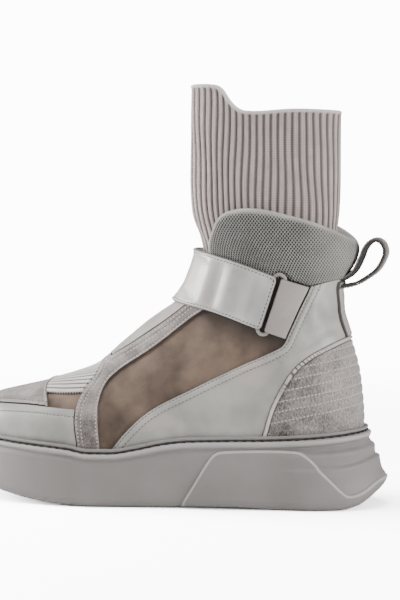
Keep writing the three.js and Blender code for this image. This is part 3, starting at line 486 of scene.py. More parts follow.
# Painted highlight: paler on the rounded top of the panel's bevel and along the rim bead near the sole's top.
wear_and_highlight = np.maximum(4 * bevel_share * (1 - bevel_share), 0.75 * ramp(level, 0.9, 0.96))
sole_points = sole_data[:, :3] + sole_data[:, 3:] * raised[:, None]
moulded = moulded_finish("moulded_sole", tone(134, 129, 127), tone(144, 139, 137), 0.5)
add_piece("sole_block", sole_points, sole_triangles, moulded, ["sole"], {"wear_and_highlight": wear_and_highlight},
          sharp=50)

# Welt
# A bead of the same rubber round the foot of the upper, cemented and sewn down with long dark stitches that
# lie in the
# groove over the sole's rim.

WELT_STITCH = 4.3
WELT_PITCH = 5.7
WELT_GROOVE = (0.9, 1.7)
WELT_SEAMS = [0.712, 0.232]
welt_profile = [
    (0.3, 3.2), (0.3, 3.8), (1.0, 4.0), (1.45, 4.6), (1.9, 5.1), (2.6, 5.25), (3.2, 5.0), (3.5, 4.4),
    (3.5, 3.8),
    (3.1, 3.3), (1.6, 3.1),
]


def welt_ring(rise, grow):
    ring = ring_points(1, grow, grow - 0.4, grow + 0.1, rise)
    swell = sum(np.exp(-(((ring[:, 0] - x_of(share)) / 1.4) ** 2)) for share in WELT_SEAMS)
    centre = np.stack([np.zeros(len(ring)), np.sign(ring[:, 1]), np.zeros(len(ring))], 1)
    return ring + centre * (0.5 * swell * (grow > 4))[:, None]


def stitch_tree():
    """Geometry nodes that lay stitches along the edges of a mesh, standing on the surface that
    facing gives."""
    tree = bpy.data.node_groups.new("stitch_row", "GeometryNodeTree")
    tree.interface.new_socket("Path", in_out="INPUT", socket_type="NodeSocketGeometry")
    for title in ("Pitch", "Length", "Width", "Height"):
        tree.interface.new_socket(title, in_out="INPUT", socket_type="NodeSocketFloat")
    tree.interface.new_socket("Thread", in_out="INPUT", socket_type="NodeSocketMaterial")
    tree.interface.new_socket("Stitches", in_out="OUTPUT", socket_type="NodeSocketGeometry")
    given = tree.nodes.new("NodeGroupInput").outputs
    curve = add_node(tree, "GeometryNodeMeshToCurve", Mesh=given["Path"]).outputs[0]
    spaced = add_node(tree, "GeometryNodeResampleCurve", {"mode": "LENGTH"}, Curve=curve,
                      Length=given["Pitch"])
    tangent = tree.nodes.new("GeometryNodeInputTangent").outputs[0]
    facing = add_node(tree, "GeometryNodeInputNamedAttribute", {"data_type": "FLOAT_VECTOR"},
                      Name="facing").outputs[0]
    turn = add_node(tree, "FunctionNodeAlignRotationToVector", {"axis": "X"}, Vector=tangent).outputs[0]
    settings = {"axis": "Z", "pivot_axis": "X"}
    turn = add_node(tree, "FunctionNodeAlignRotationToVector", settings, Rotation=turn,
                    Vector=facing).outputs[0]
    grain = add_node(tree, "GeometryNodeMeshUVSphere", Segments=6, Rings=4, Radius=0.5).outputs[0]
    size = add_node(tree, "ShaderNodeCombineXYZ", X=given["Length"], Y=given["Width"],
                    Z=given["Height"]).outputs[0]
    placed = add_node(
        tree, "GeometryNodeInstanceOnPoints", Points=spaced.outputs[0], Instance=grain, Rotation=turn,
        Scale=size
    )
    real = add_node(tree, "GeometryNodeRealizeInstances", Geometry=placed.outputs[0]).outputs[0]
    round_off = add_node(tree, "GeometryNodeSetShadeSmooth", Geometry=real).outputs[0]
    threaded = add_node(tree, "GeometryNodeSetMaterial", Geometry=round_off,
                        Material=given["Thread"]).outputs[0]
    tree.links.new(threaded, tree.nodes.new("NodeGroupOutput").inputs[0])
    return tree


stitch_nodes = stitch_tree()


def sew(name, points, facing, edges, thread, pitch, length, width, height, slot):
    """Stitches along edges between points in millimetres, as one plain mesh."""
    mesh = bpy.data.meshes.new(name)
    mesh.from_pydata((points * MM).tolist(), edges.tolist(), [])
    mesh.attributes.new("facing", "FLOAT_VECTOR", "POINT").data.foreach_set("vector",
        facing.astype(np.float32).ravel())
    made = bpy.data.objects.new(name, mesh)
    bpy.context.scene.collection.objects.link(made)
    modifier = made.modifiers.new("stitches", "NODES")
    modifier.node_group = stitch_nodes
    sizes = {"Pitch": pitch * MM, "Length": length * MM, "Width": width * MM, "Height": height * MM,
             "Thread": thread}
    for item in stitch_nodes.interface.items_tree:
        if item.name in sizes:
            modifier[item.identifier] = sizes[item.name]
    evaluated = made.evaluated_get(bpy.context.evaluated_depsgraph_get())
    plain = bpy.data.meshes.new_from_object(evaluated)
    made.modifiers.remove(modifier)
    made.data = plain
    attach(made, "root")
    return made


def thread_finish(name, colour):
    """Waxed polyester thread, with a dull gleam."""
    material, tree, shader, place = new_material(name)
    twist = add_node(tree, "ShaderNodeTexNoise", Vector=place, Scale=2.0).outputs[0]
    darker = tuple(0.75 * v for v in colour[:3]) + (1.0,)
    tree.links.new(mixed(tree, twist, darker, colour), shader.inputs["Base Color"])
    set_values(shader, {"Roughness": 0.6})
    bump(tree, shader, twist, 0.08)
    return material


welt_line = smooth([*welt_profile, welt_profile[0]], 4)[:-1]
welt_rows = [welt_ring(rise, grow) for rise, grow in welt_line]
welt_points = np.concatenate(welt_rows)
welt_index = np.arange(len(welt_points)).reshape(len(welt_rows), loop)
welt_index = np.concatenate([welt_index, welt_index[:1]])
welt_index = np.concatenate([welt_index, welt_index[:, :1]], 1)
# Painted shade: how strongly the welt's lower band, in the groove over the sole's rim, is painted dark.
groove_shade_share = [1 - ramp(rise, *WELT_GROOVE) for rise, grow in welt_line]
welt_attributes = {"groove_shade": np.repeat(groove_shade_share, loop)}
add_piece(
    "welt_bead", welt_points, grid_triangles(welt_index), moulded, ["welt"], welt_attributes
)

dark_thread = thread_finish("dark_thread", tone(52, 48, 45))
seam_ring = ring_points(1, 4.9, 4.4, 5.0, 0.7)
seam_edges = np.stack([np.arange(loop), (np.arange(loop) + 1) % loop], 1)
seam_facing = seam_ring * (0, 1, 0)
seam_facing /= np.maximum(np.linalg.norm(seam_facing, axis=1, keepdims=True), 1)
sew(
    "welt_stitches", seam_ring, seam_facing, seam_edges, dark_thread, WELT_PITCH, WELT_STITCH, 1.2, 0.9,
    "moulded_sole"
)

# Insole
# A foam footbed in a grey fabric, dropped in on the sole inside the upper.

INSOLE_THICK = 4
INSOLE_INSET = 3.4


def fabric_finish(name, dark, light, cell):
    """A plain woven lining: warp and weft a cell apart."""
    material, tree, shader, place = new_material(name)
    axes = add_node(tree, "ShaderNodeSeparateXYZ", Vector=place).outputs
    warp = maths(tree, "SINE", maths(tree, "MULTIPLY", maths(tree, "ADD", axes[0], axes[1]), math.tau / cell))
    weft = maths(tree, "SINE", maths(tree, "MULTIPLY", axes[2], math.tau / cell))
    weave = maths(tree, "MULTIPLY_ADD", maths(tree, "MULTIPLY", warp, weft), 0.5, 0.5)
    cloud = mottle(tree, place, 25.0, 0.3)
    share = maths(tree, "MULTIPLY_ADD", weave, 0.5, maths(tree, "MULTIPLY", cloud, 0.5))
    tree.links.new(mixed(tree, share, dark, light), shader.inputs["Base Color"])
    set_values(shader, {"Roughness": 0.9})
    bump(tree, shader, weave, 0.12)
    return material


lining_cloth = fabric_finish("lining_cloth", tone(96, 92, 88), tone(132, 127, 122), 1.1)
insole_rings = [(0.3, INSOLE_INSET + 0.6), (0.4, INSOLE_INSET), (3.4, INSOLE_INSET),
                (4.0, INSOLE_INSET + 0.5)]
insole_rows = [ring_points(1, -inset, -inset, -inset, rise) for rise, inset in insole_rings]
insole_points = np.concatenate(insole_rows)
insole_index = np.arange(len(insole_points)).reshape(len(insole_rows), loop)
around = np.concatenate([insole_index, insole_index[:, :1]], 1)
under_index, insole_points = cap_grid(insole_index[0], insole_points, lambda x, y: sole_top(x) + GAP)
over_index, insole_points = cap_grid(insole_index[-1], insole_points, lambda x, y: sole_top(x) + INSOLE_THICK)
insole_triangles = np.concatenate(
    [grid_triangles(around), grid_triangles(under_index)[:, ::-1], grid_triangles(over_index)]
)
add_piece("footbed", insole_points, insole_triangles, lining_cloth, ["insole"])

# Upper
# The bootie that all overlays are sewn to: thin brown nubuck over a lining, shaped on the last. It shows
# between the
# stripe and the quarter, where it is rubbed into darker and lighter clouds.

ANKLE_WIDTH = 74
ROUND_HANDLE = 0.5523
WALL = 2
SHEET_STEP = 2.4

# The upper's sections, toe to collar. s and foot_s are parts of FOOT_LENGTH from the heel, h and foot_h
# parts of
# UPPER_RISE above the sole. ankle is how far the width has passed from the sole's outline to ANKLE_WIDTH.
sections = columns(
    "s h foot_s foot_h ankle girth apex round shift",
    [
        (1.0, 0.083, 1.0, 0, 0, 1, 0.5, 2, 1),
        (0.994, 0.127, 0.991, 0, 0, 1.02, 0.5, 2.2, 1),
        (0.974, 0.166, 0.963, 0, 0, 1.02, 0.45, 2.2, 1),
        (0.936, 0.198, 0.921, 0, 0, 1.02, 0.4, 2.2, 0.98),
        (0.876, 0.234, 0.858, 0, 0, 1.02, 0.35, 2.2, 0.95),
        (0.805, 0.277, 0.783, 0, 0, 1.02, 0.32, 2.1, 0.85),
        (0.73, 0.33, 0.7, 0, 0, 1.02, 0.3, 2, 0.75),
        (0.667, 0.382, 0.61, 0, 0.03, 1.02, 0.28, 1.9, 0.6),
        (0.607, 0.473, 0.513, 0, 0.1, 1.02, 0.28, 1.85, 0.45),
        (0.551, 0.535, 0.408, 0, 0.25, 1.02, 0.32, 1.8, 0.3),
        (0.506, 0.573, 0.296, 0, 0.5, 1.02, 0.4, 1.8, 0.2),
        (0.472, 0.601, 0.184, 0, 0.8, 1.01, 0.46, 1.85, 0.1),
        (0.452, 0.629, 0.086, 0, 0.95, 1, 0.48, 1.9, 0.05),
        (0.439, 0.657, 0.026, 0, 1, 0.99, 0.48, 2, 0),
        (0.43, 0.682, 0, 0, 1, 0.98, 0.48, 2, 0),
        (0.421, 0.72, -0.001, 0.066, 1, 0.97, 0.48, 2, 0),
        (0.41, 0.771, 0.009, 0.247, 1, 0.95, 0.48, 2, 0),
        (0.403, 0.823, 0.031, 0.403, 1, 0.93, 0.48, 2, 0),
        (0.409, 0.882, 0.052, 0.539, 1, 0.93, 0.48, 2, 0),
        (0.423, 0.948, 0.056, 0.619, 1, 0.95, 0.48, 2, 0),
        (0.438, 1.02, 0.041, 0.697, 1, 0.98, 0.48, 2, 0),
        (0.444, 1.09, 0.019, 0.768, 1, 1, 0.48, 2, 0),
        (0.448, 1.16, 0.009, 0.867, 1, 1.01, 0.48, 2, 0),
        (0.448, 1.25, 0.004, 0.993, 1, 1.01, 0.48, 2, 0),
    ],
)
sections["place"] = np.arange(len(sections["s"]), dtype=float)
CLOSING = 14


def spot(s, h):
    """The point of the side view at s and h."""
    x = x_of(np.asarray(s, float))
    return np.stack([x, datum(x) + np.asarray(h, float) * UPPER_RISE], -1)


def section_rows(places, lower, upper):
    """The sections at these places: points from the outer foot edge over the ridge to the inner foot edge."""
    read = lambda name: table_at(sections, "place", name, places)[:, None]
    foot = np.concatenate([x_of(read("foot_s")),
                           sole_top(x_of(read("foot_s"))) + read("foot_h") * UPPER_RISE], 1)
    ridge = spot(read("s")[:, 0], read("h")[:, 0])
    reach = np.linalg.norm(ridge - foot, axis=1)[:, None]
    lean = np.abs(ridge[:, :1] - foot[:, :1]) / reach
    middle, apex, power = TOE_SHIFT * read("shift"), read("apex"), 2 / read("round")
    open_row = places[:, None] < CLOSING - 1e-9
    halves = []
    for side, row in outline_sides.items():
        edge = np.abs(edge_y(foot[:, :1], side))
        outline = np.abs(edge_y(foot[:, :1], side) - middle)
        begin = np.where(open_row, outline, 0)
        widest = eased(outline, ANKLE_WIDTH / 2, read("ankle")) * read("girth")
        narrowing = np.maximum(0, np.abs(edge_y(foot[:, :1] - 1, side)) - edge)
        flare = np.where(open_row, np.arctan(narrowing * lean), np.pi / 2)
        reached = np.where(widest > 0, begin / np.maximum(widest, 1e-9), 0)
        t = np.linspace(0, 1, lower + 1)[:-1]
        w0, w1, w2, w3 = (1 - t) ** 3, 3 * t * (1 - t) ** 2, 3 * t * t * (1 - t), t**3
        along = w1 * ROUND_HANDLE * apex * np.cos(flare) * reached
        along = along + w2 * apex * (1 - ROUND_HANDLE) + w3 * apex
        out = w0 * begin + w1 * (begin + ROUND_HANDLE * (widest - begin) * np.sin(flare)) + (w2 + w3) * widest
        angle = np.linspace(0, np.pi / 2, upper + 1)
        along = np.concatenate([along, apex + (1 - apex) * np.sin(angle) ** power], 1)
        out_up = widest * np.clip(np.cos(angle), 0, 1) ** power
        out_up[:, -1] = 0
        out = np.concatenate([out, out_up], 1)
        flat = foot[:, None] * (1 - along[..., None]) + ridge[:, None] * along[..., None]
        halves.append(np.stack([flat[..., 0], middle + row["sign"] * out, flat[..., 1]], -1))
    return np.concatenate([halves[0], halves[1][:, ::-1][:, 1:]], 1)


def form_sheet(first, last, step, lower, upper):
    """The upper's form between two places: points, outward normals, and distances from foot edge
    and ridge."""
    fine = np.linspace(first, last, int((last - first) * 60) + 1)
    trial = section_rows(fine, 3, 5)
    run = np.linalg.norm(np.diff(trial, axis=0), axis=2).max(1)
    travelled = np.concatenate([[0], np.cumsum(run)])
    count = int(travelled[-1] / step) + 1
    places = np.interp(np.linspace(0, travelled[-1], count + 1), travelled, fine)
    if first < CLOSING < last:
        places[np.abs(places - CLOSING).argmin()] = CLOSING
    rows = section_rows(places, lower, upper)
    high, wide = rows.shape[:2]
    index = np.arange(high * wide).reshape(high, wide)
    closed = places >= CLOSING - 1e-9
    index[closed, -1] = index[closed, 0]
    if first == 0:
        index[0] = np.minimum(index[0], index[0][::-1])
    across = np.concatenate([np.zeros((high, 1)), np.linalg.norm(np.diff(rows, axis=1), axis=2).cumsum(1)], 1)
    ridge = wide // 2
    from_ridge = np.abs(across - across[:, ridge : ridge + 1])
    from_foot = np.where(np.arange(wide) <= ridge, across, across[:, -1:] - across)
    points = rows.reshape(-1, 3)
    triangles = grid_triangles(index)[:, ::-1]
    data = np.concatenate(
        [points, point_normals(points, triangles), from_foot.reshape(-1, 1), from_ridge.reshape(-1, 1)], 1
    )
    return compact(data, triangles)


def compact(data, triangles):
    used, triangles = np.unique(triangles, return_inverse=True)
    return data[used], triangles.reshape(-1, 3)


def left_of(line, clear=GAP / 2):
    """How far inside the side to the left of a seam line a point of the surface lies, half a gap
    clear of it."""
    return lambda points: line_distance(line, points[:, 0], points[:, 2]) - clear


def right_of(line, clear=GAP / 2):
    return lambda points: -line_distance(line, points[:, 0], points[:, 2]) - clear


def middle_first(values):
    """The middle value, then the middles of both halves, and so on, so that few slivers pile up
    between cuts."""
    half = len(values) // 2
    return [values[half]] + middle_first(values[:half]) + middle_first(values[half + 1 :]) if values else []


def cut_panel(sheet, limits, offset, rims):
    """The part of a sheet inside all its limits, with edges along its rims. Adds how far inside
    each point lies."""
    data, triangles = sheet
    for limit in limits:
        value = limit(data[:, :3] + data[:, 3:6] * offset)
        data, triangles, above = split(data, triangles, value, 0)
        data, triangles = compact(data, triangles[above])
    depth = lambda rows: np.min([limit(rows[:, :3] + rows[:, 3:6] * offset) for limit in limits], axis=0)
    for rim in middle_first(sorted(set(rims))):
        data, triangles, _ = split(data, triangles, depth(data), rim)
    return data, triangles, np.maximum(depth(data), 0)


def closed_shell(outer, inner, triangles):
    """A solid between an outer and an inner sheet with the same triangles, closed round its open edges."""
    _, same = np.unique(np.round(outer, 3), axis=0, return_inverse=True)
    same = same.ravel()
    edges = np.concatenate([triangles[:, [0, 1]], triangles[:, [1, 2]], triangles[:, [2, 0]]])
    key = same[edges]
    codes = key[:, 0] * len(outer) + key[:, 1]
    back = key[:, 1] * len(outer) + key[:, 0]
    a, b = edges[~np.isin(codes, back) & (key[:, 0] != key[:, 1])].T
    count = len(outer)
    skirt = np.concatenate([np.stack([b, a, a + count], 1), np.stack([b, a + count, b + count], 1)])
    return np.concatenate([outer, inner]), np.concatenate([triangles, triangles[:, ::-1] + count, skirt])


def rounded(inside, radius):
    """The height of a rounded edge, from 0 at the edge to 1 a radius inside it."""
    return np.sqrt(1 - (1 - np.clip(inside / radius, 0, 1)) ** 2)


def on_sole(points):
    """Keeps points just above the sole."""
    points[:, 2] = np.maximum(points[:, 2], sole_top(points[:, 0]) + GAP)
    return points


def folds(points, table):
    """Soft ridges and troughs, each along a line from s, h to s, h of the side view. height is in
    millimetres."""
    total = np.zeros(len(points))
    for s0, h0, s1, h1, width, height in table:
        start, end = spot(s0, h0), spot(s1, h1)
        run = end - start
        length = np.linalg.norm(run)
        flat = points[:, [0, 2]] - start
        along = flat @ run / length**2
        off = (flat[:, 0] * run[1] - flat[:, 1] * run[0]) / length
        fade = ramp(along, -0.15, 0.2) * (1 - ramp(along, 0.8, 1.15))
        total += height * fade * np.exp(-((off / width) ** 2))
    return total


def seam(*rows):
    return smooth([spot(s, h) for s, h in rows])


collar_foot = seam(
    (1.2, 0.79), (0.419, 0.79), (0.345, 0.755), (0.277, 0.718), (0.21, 0.692), (0.169, 0.692), (0.14, 0.674),
    (0.112, 0.657), (0.086, 0.664), (0.05, 0.674), (-0.1, 0.672),
)
nubuck_folds = [
    (0.56, 0.2, 0.34, 0.44, 9, 0.5), (0.5, 0.33, 0.3, 0.52, 7, -0.45), (0.4, 0.3, 0.26, 0.5, 7, 0.5),
    (0.33, 0.56, 0.24, 0.42, 6, -0.5), (0.5, 0.25, 0.42, 0.3, 8, -0.35), (0.61, 0.12, 0.55, 0.3, 7, 0.3),
]


def nubuck_finish():
    """Brushed hide: matt, with darker and lighter clouds where the nap lies over, and a painted
    shadow under the strap."""
    material, tree, shader, place = new_material("brown_nubuck")
    cloud = mottle(tree, place, 34.0, 0.05)
    small = mottle(tree, place, 13.0, 0.2)
    share = maths(tree, "MULTIPLY_ADD", small, 0.25, maths(tree, "MULTIPLY", cloud, 0.75))
    brown = mixed(tree, share, tone(70, 57, 48), tone(136, 115, 99))
    # Painted shadow: the hide is painted dark where the strap lies over it.
    shade = attribute(tree, "shaded")
    tree.links.new(mixed(tree, shade, brown, tone(52, 45, 40)), shader.inputs["Base Color"])
    set_values(shader, {"Roughness": 0.9, "Sheen Weight": 0.15})
    nap = add_node(tree, "ShaderNodeTexNoise", Vector=place, Scale=3.5, Detail=4.0).outputs[0]
    bump(tree, shader, nap, 0.1)
    return material


nubuck = nubuck_finish()
strap_top = seam((0.6, 0.98), (0.419, 0.842), (0.345, 0.806), (0.277, 0.766), (0.184, 0.7))
anchor_top = seam((0.184, 0.7), (0.112, 0.655), (0.03, 0.6))
band_top = np.concatenate([strap_top, anchor_top[1:]])
STRAP_WIDTH = 36
data, triangles, inside = cut_panel(
    form_sheet(0, 23, SHEET_STEP, 16, 34), [right_of(collar_foot)], 0, [0.3]
)
# Painted shadow that the strap casts on the bootie below its band.
strap_shadow = ramp(-line_distance(band_top, data[:, 0], data[:, 2]), STRAP_WIDTH + 16, STRAP_WIDTH - 2)
lift = folds(data[:, :3], nubuck_folds) * (1 - ramp(data[:, 6], 4, 0))
outer = on_sole(data[:, :3] + data[:, 3:6] * lift[:, None])
inner = on_sole(data[:, :3] - data[:, 3:6] * WALL)
points, faces = closed_shell(outer, inner, triangles)
add_piece("bootie", points, faces, nubuck, ["upper"], {"shaded": np.tile(strap_shadow, 2)})

# Toe rand
# A strip of smooth pale leather round the toe, glued over the bootie and sewn along its top edge.

LEATHER = 1.3
EDGE_LOW = 0.3
STITCH_DIP = 0.42
ROW_CLEAR = 0.9
PANEL_STEP = 1.7
PANEL_LOWER = 20
PANEL_UPPER = 42

# Leather's skin: small rounded cells between fine wrinkles, from 0 to 1.
grain_group, given, result = new_group(
    "hide_grain",
    [("Vector", "NodeSocketVector", None), ("Cell", "NodeSocketFloat", 0.9)],
    [("Height", "NodeSocketFloat")],
)
cell_scale = maths(grain_group, "DIVIDE", 1.0, given["Cell"])
cells = add_node(grain_group, "ShaderNodeTexVoronoi", Vector=given["Vector"], Scale=cell_scale)
wrinkle = add_node(grain_group, "ShaderNodeTexNoise", Vector=given["Vector"], Scale=0.35, Detail=5.0)
uneven = maths(grain_group, "MULTIPLY_ADD", wrinkle.outputs[0], 1.4,
               maths(grain_group, "MULTIPLY", cells.outputs[0], -0.4))
grain_group.links.new(uneven, result["Height"])

# Near a cut edge: 1 at the edge, fading over a width, broken up a little.
edge_group, given, result = new_group(
    "cut_edge",
    [("Vector", "NodeSocketVector", None), ("Width", "NodeSocketFloat", 1.0)],
    [("Mask", "NodeSocketFloat")],
)
depth = add_node(edge_group, "ShaderNodeAttribute", {"attribute_name": "inside"}).outputs["Fac"]
broken = add_node(edge_group, "ShaderNodeTexNoise", Vector=given["Vector"], Scale=0.5, Detail=2.0).outputs[0]
uneven = maths(edge_group, "MULTIPLY", given["Width"], maths(edge_group, "MULTIPLY_ADD", broken, 1.2, 0.4))
edge_group.links.new(
    maths(edge_group, "SUBTRACT", 1.0, maths(edge_group, "DIVIDE", depth, uneven)), result["Mask"]
)


def leather_finish(name, dark, light, blush, edge_tone, roughness=0.42):
    """Smooth finished leather: warm grey with a faint pink bloom, darker at its cut edges, with a
    soft gleam."""
    material, tree, shader, place = new_material(name)
    cloud = mottle(tree, place, 30.0, 0.03)
    pink = mottle(tree, place, 48.0, 0.0)
    base = mixed(tree, spread(tree, pink, 0.55, 1.0, 0.0, 0.7), mixed(tree, cloud, dark, light), blush)
    edge = group_in(tree, edge_group, Vector=place, Width=0.6)["Mask"]
    tree.links.new(mixed(tree, spread(tree, edge, 0.0, 0.8, 0.0, 0.9), base, edge_tone),
                   shader.inputs["Base Color"])
    grain = group_in(tree, grain_group, Vector=place, Cell=0.8)["Height"]
    tree.links.new(spread(tree, cloud, 0.0, 1.0, roughness + 0.07, roughness - 0.05),
                   shader.inputs["Roughness"])
    set_values(shader, {"Coat Weight": 0.12, "Coat Roughness": 0.35})
    bump(tree, shader, grain, 0.09)
    return material


def row_on(surface, triangles, value, inside, distance):
    """The line on a panel that runs this far inside one of its seams: points, directions and edges."""
    data = np.concatenate([surface, point_normals(surface, triangles), inside[:, None]], 1)
    count = len(data)
    data, cut, _ = split(data, triangles, value, distance)
    edges = np.sort(np.concatenate([cut[:, [0, 1]], cut[:, [1, 2]], cut[:, [2, 0]]]), 1)
    edges = np.unique(edges[edges[:, 0] >= count], axis=0)
    edges = edges[(data[edges, 6] > min(distance, ROW_CLEAR) - 0.35).all(1)]
    used, edges = np.unique(edges, return_inverse=True)
    return data[used, :3], data[used, 3:6], edges.reshape(-1, 2)


def add_overlay(
    name, sheet, limits, base, thick, material, slot, nodes, radius=0.8, rows=(), relief=None, rims=(),
    extra=None
):
    """A panel of the upper, cut to its seams, with rounded edges, stitch rows sunk in it and its
    own folds."""
    dips = [distance + step for _, distance, _ in rows for step in (-0.6, 0.0, 0.6)]
    levels = [radius * share for share in (0.12, 0.45, 1.0)] + dips + list(rims)
    data, triangles, inside = cut_panel(sheet, limits, base + thick, levels)
    at = data[:, :3] + data[:, 3:6] * (base + thick)
    height = thick * (EDGE_LOW + (1 - EDGE_LOW) * rounded(inside, radius))
    seams = [limit(at) for limit in limits]
    for number, distance, _ in rows:
        height -= STITCH_DIP * np.exp(-(((seams[number] - distance) / 0.45) ** 2))
    if relief:
        height += relief(at, inside, data)
    top = on_sole(data[:, :3] + data[:, 3:6] * (base + height)[:, None])
    under = on_sole(data[:, :3] + data[:, 3:6] * base)
    points, faces = closed_shell(top, under, triangles)
    attributes = {"inside": np.tile(inside, 2), "ridge_way": np.tile(data[:, 7], 2),
                  "foot_way": np.tile(data[:, 6], 2)}
    for title, worth in (extra or {}).items():
        attributes[title] = np.tile(worth(at, data[:, 7]), 2)
    made = add_piece(name, points, faces, material, nodes, attributes)
    for place, (number, distance, stitch) in enumerate(rows):
        line = row_on(top, triangles, seams[number], inside, distance)
        sew(f"{name}_stitches_{place}", *line, slot=slot, **stitch)
    return made


pale_leather = leather_finish(
    "pale_leather", tone(156, 153, 148), tone(184, 181, 175), tone(192, 179, 174), tone(84, 78, 73)
)
grey_thread = thread_finish("grey_thread", tone(98, 92, 87))
fine_stitch = {"thread": grey_thread, "pitch": 2.6, "length": 1.9, "width": 0.75, "height": 0.5}
rand_top = seam(
    (1.06, 0.095), (0.985, 0.15), (0.945, 0.174), (0.888, 0.189), (0.8, 0.207), (0.719, 0.214), (0.66, 0.214)
)
stripe_front = seam(
    (0.672, -0.08), (0.674, 0.061), (0.681, 0.18), (0.678, 0.254), (0.663, 0.322), (0.65, 0.365),
    (0.645, 0.43),
    (0.645, 0.95),
)
fore_sheet = form_sheet(0, 8.6, PANEL_STEP, PANEL_LOWER, PANEL_UPPER)
rand_folds = [(0.93, 0.04, 0.9, 0.2, 6, -0.35), (0.82, 0.02, 0.79, 0.2, 7, 0.3),
              (0.74, 0.02, 0.73, 0.2, 5, -0.25)]
add_overlay(
    "toe_rand_leather", fore_sheet, [right_of(rand_top), left_of(stripe_front)], GAP, LEATHER, pale_leather,
    "smooth_leather", ["toe_rand"], rows=[(0, 4.7, fine_stitch)],
    relief=lambda at, inside, data: folds(at, rand_folds) * ramp(inside, 1, 6),
)

# Toe cap
# A pointed patch of suede on top of the toe, sewn over the knit, its rear edge bound with a thin strip of
# leather.

BINDING_WIDTH = 1.9


def suede_finish(name, dark, light, paler_tone):
    """Split leather: no gleam, a short nap that lies in light and dark strokes, paler where it is rubbed,
    with a painted shadow line along its cut edge.
    """
    material, tree, shader, place = new_material(name)
    cloud = mottle(tree, place, 13.0, 0.15)
    fibre = add_node(tree, "ShaderNodeTexNoise", Vector=place, Scale=1.6, Detail=5.0,
                     Roughness=0.7).outputs[0]
    share = maths(tree, "MULTIPLY_ADD", spread(tree, fibre, 0.36, 0.64), 0.5,
                  maths(tree, "MULTIPLY", cloud, 0.5))
    edge = group_in(tree, edge_group, Vector=place, Width=1.6)["Mask"]
    # Painted shadow: a thin near-black line along the suede's cut edge, where the gap beside it lies in
    # shade.
    cut = group_in(tree, edge_group, Vector=place, Width=0.5)["Mask"]
    base = mixed(tree, share, dark, light)
    paler = mixed(tree, spread(tree, edge, 0.0, 0.8, 0.0, 0.6), base, paler_tone)
    tree.links.new(mixed(tree, spread(tree, cut, 0.0, 0.6), paler, tone(62, 57, 53)),
                   shader.inputs["Base Color"])
    set_values(shader, {"Roughness": 0.95, "Specular IOR Level": 0.2, "Sheen Weight": 0.25})
    bump(tree, shader, fibre, 0.22)
    return material


grey_suede = suede_finish("grey_suede", tone(68, 62, 59), tone(176, 167, 163), tone(196, 187, 183))
pale_thread = thread_finish("pale_thread", tone(224, 218, 214))
bold_stitch = {"thread": pale_thread, "pitch": 2.5, "length": 1.6, "width": 0.95, "height": 0.7}
cap_rear = seam((0.751, 0.16), (0.757, 0.215), (0.768, 0.25), (0.786, 0.29), (0.815, 0.4))
add_overlay(
    "toe_cap_suede", fore_sheet, [left_of(rand_top), left_of(cap_rear)], GAP, LEATHER, grey_suede, "suede",
    ["toe_cap"], rows=[(0, 1.6, bold_stitch)],
)
binding_limits = [left_of(rand_top), left_of(cap_rear, -BINDING_WIDTH / 2),
                  right_of(cap_rear, -BINDING_WIDTH / 2)]
add_overlay(
    "toe_cap_binding", fore_sheet, binding_limits, GAP + LEATHER, 1.0, pale_leather, "smooth_leather", [],
    radius=0.95
)

# Knit vamp
# A stretch panel in fine rib knit over the toes, its ribs running fore and aft.

KNIT = 1.8
VAMP_RIBS = 15.5
VAMP_RIB_HEIGHT = 0.7


def vamp_phase(at, from_ridge):
    """0 on a rib's crest and 1 in a groove: the ribs share out what lies between the ridge and the
    low seam."""
    from_seam = line_distance(knit_low, at[:, 0], at[:, 2])
    share = from_seam / np.maximum(from_seam + from_ridge, 1e-6)
    return np.abs((share * VAMP_RIBS) % 1 - 0.5) * 2


def vamp_finish():
    """Fine rib knit: the ribs are in the mesh, and the grooves between them hold painted shade, broken into
    the small dark dashes of the stitches.
    """
    material, tree, shader, place = new_material("vamp_knit")
    phase = attribute(tree, "rib")
    along = add_node(tree, "ShaderNodeSeparateXYZ", Vector=place).outputs[0]
    dots = maths(tree, "MULTIPLY_ADD", maths(tree, "SINE", maths(tree, "MULTIPLY", along, math.tau / 1.9)),
                 0.5, 0.5)
    # Painted shade in the rib grooves, broken into dashes along the stitches.
    groove_shade = mixed(tree, dots, tone(60, 51, 47), tone(152, 141, 137))
    cloud = mottle(tree, place, 12.0, 0.5)
    yarn = mixed(tree, cloud, tone(206, 199, 196), tone(226, 220, 217))
    tree.links.new(mixed(tree, spread(tree, phase, 0.45, 0.85), yarn, groove_shade), shader.inputs["Base Color"])
    set_values(shader, {"Roughness": 0.93, "Sheen Weight": 0.2})
    loops = maths(tree, "SINE", maths(tree, "MULTIPLY", along, math.tau / 1.1))
    bump(tree, shader, loops, 0.12)
    return material


def vamp_relief(at, inside, data):
    return -VAMP_RIB_HEIGHT * vamp_phase(at, data[:, 7]) ** 3


knit_low = seam((0.83, 0.25), (0.76, 0.266), (0.72, 0.274), (0.64, 0.289))
vamp_limits = [left_of(knit_low), right_of(cap_rear), left_of(stripe_front)]
add_overlay(
    "vamp_rib_knit", form_sheet(3.6, 8.6, 2.2, 90, 300), vamp_limits, GAP, KNIT, vamp_finish(), "knit",
    ["knit_vamp"],
    relief=vamp_relief, extra={"rib": vamp_phase},
)

# Instep panel
# Smooth pale leather over the instep, tucked under the stripe in front and under the strap above.

